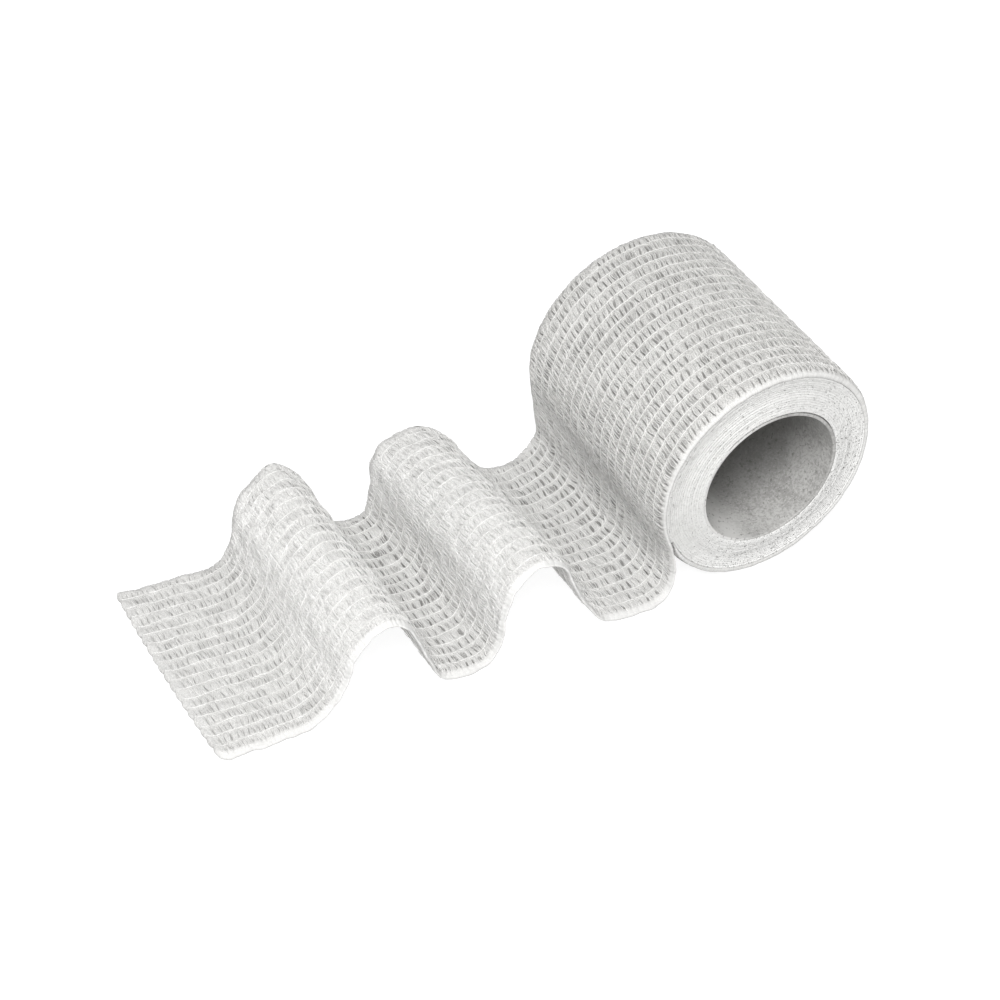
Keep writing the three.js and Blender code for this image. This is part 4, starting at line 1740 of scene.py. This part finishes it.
@dataclass(frozen=True)
class EdgeGrainFinish:
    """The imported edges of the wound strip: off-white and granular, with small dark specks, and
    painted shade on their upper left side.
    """

    shade_side_yarn: Colour = (0.585, 0.583, 0.573, 1.0)
    yarn: Colour = (0.680, 0.678, 0.668, 1.0)
    shade_side_shaded: Colour = (0.500, 0.497, 0.487, 1.0)
    shaded: Colour = (0.570, 0.567, 0.557, 1.0)
    speck: Colour = (0.170, 0.168, 0.162, 1.0)
    roughness: float = 0.95
    shade_and_speck_side: Change = (-0.036, -0.012, 0.0, 1.0)
    grain_noise: tuple[float, ...] = (2100.0, 3.0, 0.65)
    clump_noise: tuple[float, ...] = (560.0, 2.0)
    band_noise: Colour = (0.8, 1.0)
    speck_noise: tuple[float, ...] = (2800.0, 2.0, 0.7)
    graining: Change = (0.60, 0.36, 0.0, 0.7)
    clumping: Change = (0.6, 0.3, 0.0, 0.4)
    banding: Change = (0.35, 0.65, -0.06, 0.06)
    more_specks: float = 0.060
    speck_band: Band = (0.645, 0.69)
    relief: tuple[float, float] = (0.00020, 0.8)
    specular: float = 0.25

    def material(self) -> bpy.types.Material:
        """Builds the material, which reads the piece's own space and how far each point is wound.

        Returns:
            The finished material.
        """
        tree = NodeTree("edge_grain")
        place = tree.place()
        grain = tree.noise(place, *self.grain_noise)
        clumps = tree.noise(place, *self.clump_noise)
        bands = tree.noise(tree.numbers(tree.value("wound")), *self.band_noise)
        shade = tree.math("ADD", tree.step(grain, *self.graining), tree.step(clumps, *self.clumping))
        shade = tree.math("ADD", shade, tree.ramp(bands, *self.banding))
        x, _, z = tree.parts(place)
        # Painted shade: the upper left of the ends is darker, the lower right lighter and with more
        # specks
        side = tree.step(tree.math("SUBTRACT", x, z), *self.shade_and_speck_side)
        light = tree.blend(side, self.shade_side_yarn, self.yarn)
        dull = tree.blend(side, self.shade_side_shaded, self.shaded)
        colour = tree.blend(tree.math("MAXIMUM", shade, 0.0), light, dull)
        specks = tree.noise(place, *self.speck_noise)
        specks = tree.math("MULTIPLY_ADD", side, self.more_specks, specks)
        colour = tree.blend(tree.step(specks, *self.speck_band), colour, self.speck)
        return tree.dress(colour, tree.bump(grain, *self.relief), self.roughness, self.specular)


@dataclass(frozen=True)
class CoreFinish:
    """Dull mid-grey tube with a mottle and faint marks, painted shade deep inside, and painted light on
    its left side.
    """

    light: Colour = (0.380, 0.377, 0.367, 1.0)
    dark: Colour = (0.240, 0.237, 0.229, 1.0)
    painted_deep_shade: Colour = (0.175, 0.173, 0.167, 1.0)
    roughness: tuple[float, float] = (0.42, 0.62)
    painted_shade_depth: Change = (0.0225, 0.0085, 0.0, 0.55)
    speck: Colour = (0.120, 0.118, 0.113, 1.0)
    pale: Colour = (0.560, 0.556, 0.543, 1.0)
    painted_light_side: Change = (0.001, -0.0085, 0.0, 0.85)
    mottle_noise: tuple[float, ...] = (1900.0, 3.0, 0.75)
    drawn_stretch: tuple[float, float, float] = (1.0, 0.4, 1.0)
    drawn_noise: tuple[float, ...] = (900.0, 3.0, 0.6)
    cloud_noise: tuple[float, ...] = (110.0, 2.0)
    speck_noise: tuple[float, ...] = (1300.0, 2.0, 0.6)
    weights: tuple[float, float, float] = (0.6, 0.2, 0.25)
    lightening: Band = (0.43, 0.63)
    specks: Change = (0.40, 0.33, 0.0, 0.6)
    roughening: Band = (0.3, 0.7)
    relief: tuple[float, float] = (0.00006, 0.6)

    def material(self) -> bpy.types.Material:
        """Builds the material, which reads the piece's own space.

        Returns:
            The finished material.
        """
        tree = NodeTree("grey_core")
        place = tree.place()
        mottle = tree.noise(place, *self.mottle_noise)
        drawn = tree.noise(tree.scaled(place, self.drawn_stretch), *self.drawn_noise)
        cloud = tree.noise(place, *self.cloud_noise)
        share = tree.math("MULTIPLY", mottle, self.weights[0])
        for noise, weight in zip((drawn, cloud), self.weights[1:]):
            share = tree.math("MULTIPLY_ADD", noise, weight, share)
        colour = tree.blend(tree.step(share, *self.lightening), self.dark, self.light)
        x, y, _ = tree.parts(place)
        # Painted shade: darker towards the middle of the bore, away from both ends
        deep = tree.step(tree.math("ABSOLUTE", y), *self.painted_shade_depth)
        colour = tree.blend(deep, colour, self.painted_deep_shade)
        # Painted light: paler on the tube's left side
        colour = tree.blend(tree.step(x, *self.painted_light_side), colour, self.pale)
        specks = tree.step(tree.noise(place, *self.speck_noise), *self.specks)
        colour = tree.blend(specks, colour, self.speck)
        roughness = tree.ramp(mottle, *self.roughening, *self.roughness)
        return tree.dress(colour, tree.bump(mottle, *self.relief), roughness)


@dataclass
class Studio:
    """Plain pale floor, soft light from the front left, and the camera at the photograph's angle."""

    floor_size: float = 6.0
    floor_colour: Colour = (0.22, 0.22, 0.22, 1.0)
    floor_glow: float = 0.88
    floor_grain: tuple[float, ...] = (60.0, 2.0)
    floor_dimming: float = 0.985
    sky: Change = (-0.9, 0.5, 0.62, 0.25)
    key_place: tuple[float, float, float] = (-0.26, -0.30, 0.57)
    key_aim: tuple[float, float, float] = (-0.04, 0.0, 0.02)
    key_size: float = 0.30
    key_power: float = 6.0
    azimuth: float = -31.555
    elevation: float = 41.311
    roll: float = 3.154
    location: tuple[float, float, float] = (-0.257931, -0.346894, 0.373456)
    lens: float = 100.15
    sensor: float = 36.0
    clip: tuple[float, float] = (0.01, 20.0)

    def lay_floor(self) -> None:
        """Lays a large pale floor under the roll."""
        clear_selection()
        bpy.ops.mesh.primitive_plane_add(size=self.floor_size, location=(0.0, 0.0, 0.0))
        floor = bpy.context.object
        floor.name = "floor"
        tree = NodeTree("pale_floor")
        grain = tree.noise(tree.place(), *self.floor_grain)
        dimmer = tuple(self.floor_dimming * part for part in self.floor_colour[:3]) + (1.0,)
        tree.put(tree.shader.inputs["Emission Color"], (1.0, 1.0, 1.0, 1.0))
        tree.put(tree.shader.inputs["Emission Strength"], self.floor_glow)
        colour = tree.blend(grain, self.floor_colour, dimmer)
        floor.data.materials.append(tree.dress(colour, None, 1.0, 0.0))

    def hang_light(self, name: str, location: tuple[float, ...], size: float, power: float) -> None:
        """Hangs one square soft light that faces the roll.

        Args:
            name: The light's name.
            location: Its place.
            size: Its width.
            power: Its power, in watts.
        """
        data = bpy.data.lights.new(name, "AREA")
        data.shape, data.size, data.energy = "SQUARE", size, power
        light = bpy.data.objects.new(name, data)
        bpy.context.scene.collection.objects.link(light)
        light.location = location
        back = light.location - Vector(self.key_aim)
        light.rotation_euler = back.to_track_quat("Z", "Y").to_euler()

    def light_up(self) -> None:
        """Sets the white surround, which is dimmer behind the roll, and hangs the light."""
        world = bpy.data.worlds.new("surround")
        world.use_nodes = True
        nodes, links = world.node_tree.nodes, world.node_tree.links
        nodes["Background"].inputs["Color"].default_value = (1.0, 1.0, 1.0, 1.0)
        parts = nodes.new("ShaderNodeSeparateXYZ")
        links.new(nodes.new("ShaderNodeTexCoord").outputs["Generated"], parts.inputs[0])
        fade = nodes.new("ShaderNodeMapRange")
        for name, value in zip(("From Min", "From Max", "To Min", "To Max"), self.sky):
            fade.inputs[name].default_value = value
        links.new(parts.outputs["Y"], fade.inputs["Value"])
        links.new(fade.outputs["Result"], nodes["Background"].inputs["Strength"])
        bpy.context.scene.world = world
        self.hang_light("key", self.key_place, self.key_size, self.key_power)
        bpy.context.scene.view_settings.view_transform = "Standard"

    def place_camera(self) -> None:
        """Places the camera where the photograph was taken from."""
        azimuth, elevation, roll = map(math.radians, (self.azimuth, self.elevation, self.roll))
        level_share = math.cos(elevation)
        back = np.array((math.sin(azimuth), -math.cos(azimuth), 0.0)) * level_share
        back[2] = math.sin(elevation)
        level = np.cross(-back, (0.0, 0.0, 1.0))
        level /= np.linalg.norm(level)
        upright = np.cross(level, -back)
        right = math.cos(roll) * level + math.sin(roll) * upright
        up = math.cos(roll) * upright - math.sin(roll) * level
        data = bpy.data.cameras.new("camera")
        data.lens, data.sensor_width = self.lens, self.sensor
        data.clip_start, data.clip_end = self.clip
        camera = bpy.data.objects.new("camera", data)
        bpy.context.scene.collection.objects.link(camera)
        turned = Matrix([list(row) for row in np.stack((right, up, back), 1)]).to_4x4()
        camera.matrix_world = Matrix.Translation(self.location) @ turned
        bpy.context.scene.camera = camera

    def set_up(self) -> None:
        """Makes the floor, the lights and the camera."""
        self.lay_floor()
        self.light_up()
        self.place_camera()


@dataclass
class BandageRoll:
    """The whole object: wound turns, last turn, loose end, elastic threads and core tube."""

    route: StripRoute = field(default_factory=StripRoute)
    weave: Weave = field(init=False)
    flat_length: float = 0.153
    wound_edge: tuple[tuple[float, float], ...] = ((0.14, 0.75), (0.5, 1.0), (0.97, 0.95))

    def __post_init__(self) -> None:
        """Works out the weave for the route."""
        self.weave = Weave(self.route)

    def put_on(
        self, made: bpy.types.Object, material: bpy.types.Material, node: str
    ) -> bpy.types.Object:
        """Dresses a piece, lets it ride on the one body and hides the node that it stands for.

        Args:
            made: The piece.
            material: Its material.
            node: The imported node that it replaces.

        Returns:
            The same piece.
        """
        made.data.materials.clear()
        made.data.materials.append(material)
        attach(made, BODY)
        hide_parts(node)
        LOG.info("%s: %d faces", made.name, len(made.data.polygons))
        return made

    def build(self) -> None:
        gauze, yarn = GauzeFinish(self.route).material(), YARN_FINISH.material()
        wound_yarn, thread = WOUND_YARN_FINISH.material(), THREAD_FINISH.material()
        leaving, last = self.weave.leaving_row, len(self.weave.rungs) - 1
        turn = StripPiece("last_turn", self.weave, 0, leaving, edge_rings=self.wound_edge)
        end = StripPiece("loose_end", self.weave, leaving, last)
        cloth = (
            (turn, gauze),
            (end, gauze),
            (WoundTurns(self.route), EdgeGrainFinish().material()),
            (ElasticThreads("turn_threads", turn, Side.OUTER), thread),
            (CrossYarns("turn_yarns", turn), wound_yarn),
            (ElasticThreads("end_threads", end, Side.OUTER), thread),
            (ElasticThreads("under_threads", end, Side.UNDER), thread),
            (CrossYarns("end_yarns", end), yarn),
        )
        made = [self.put_on(part.build(), look, CLOTH_NODE) for part, look in cloth]
        self.put_on(CoreTube(self.route).build(), CoreFinish().material(), CORE_NODE)


def main() -> None:
    """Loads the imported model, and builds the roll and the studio."""
    logging.basicConfig(level=logging.INFO, format="%(message)s")
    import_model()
    clear_selection()
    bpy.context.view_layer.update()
    BandageRoll().build()
    Studio().set_up()


if __name__ == "__main__":
    main()
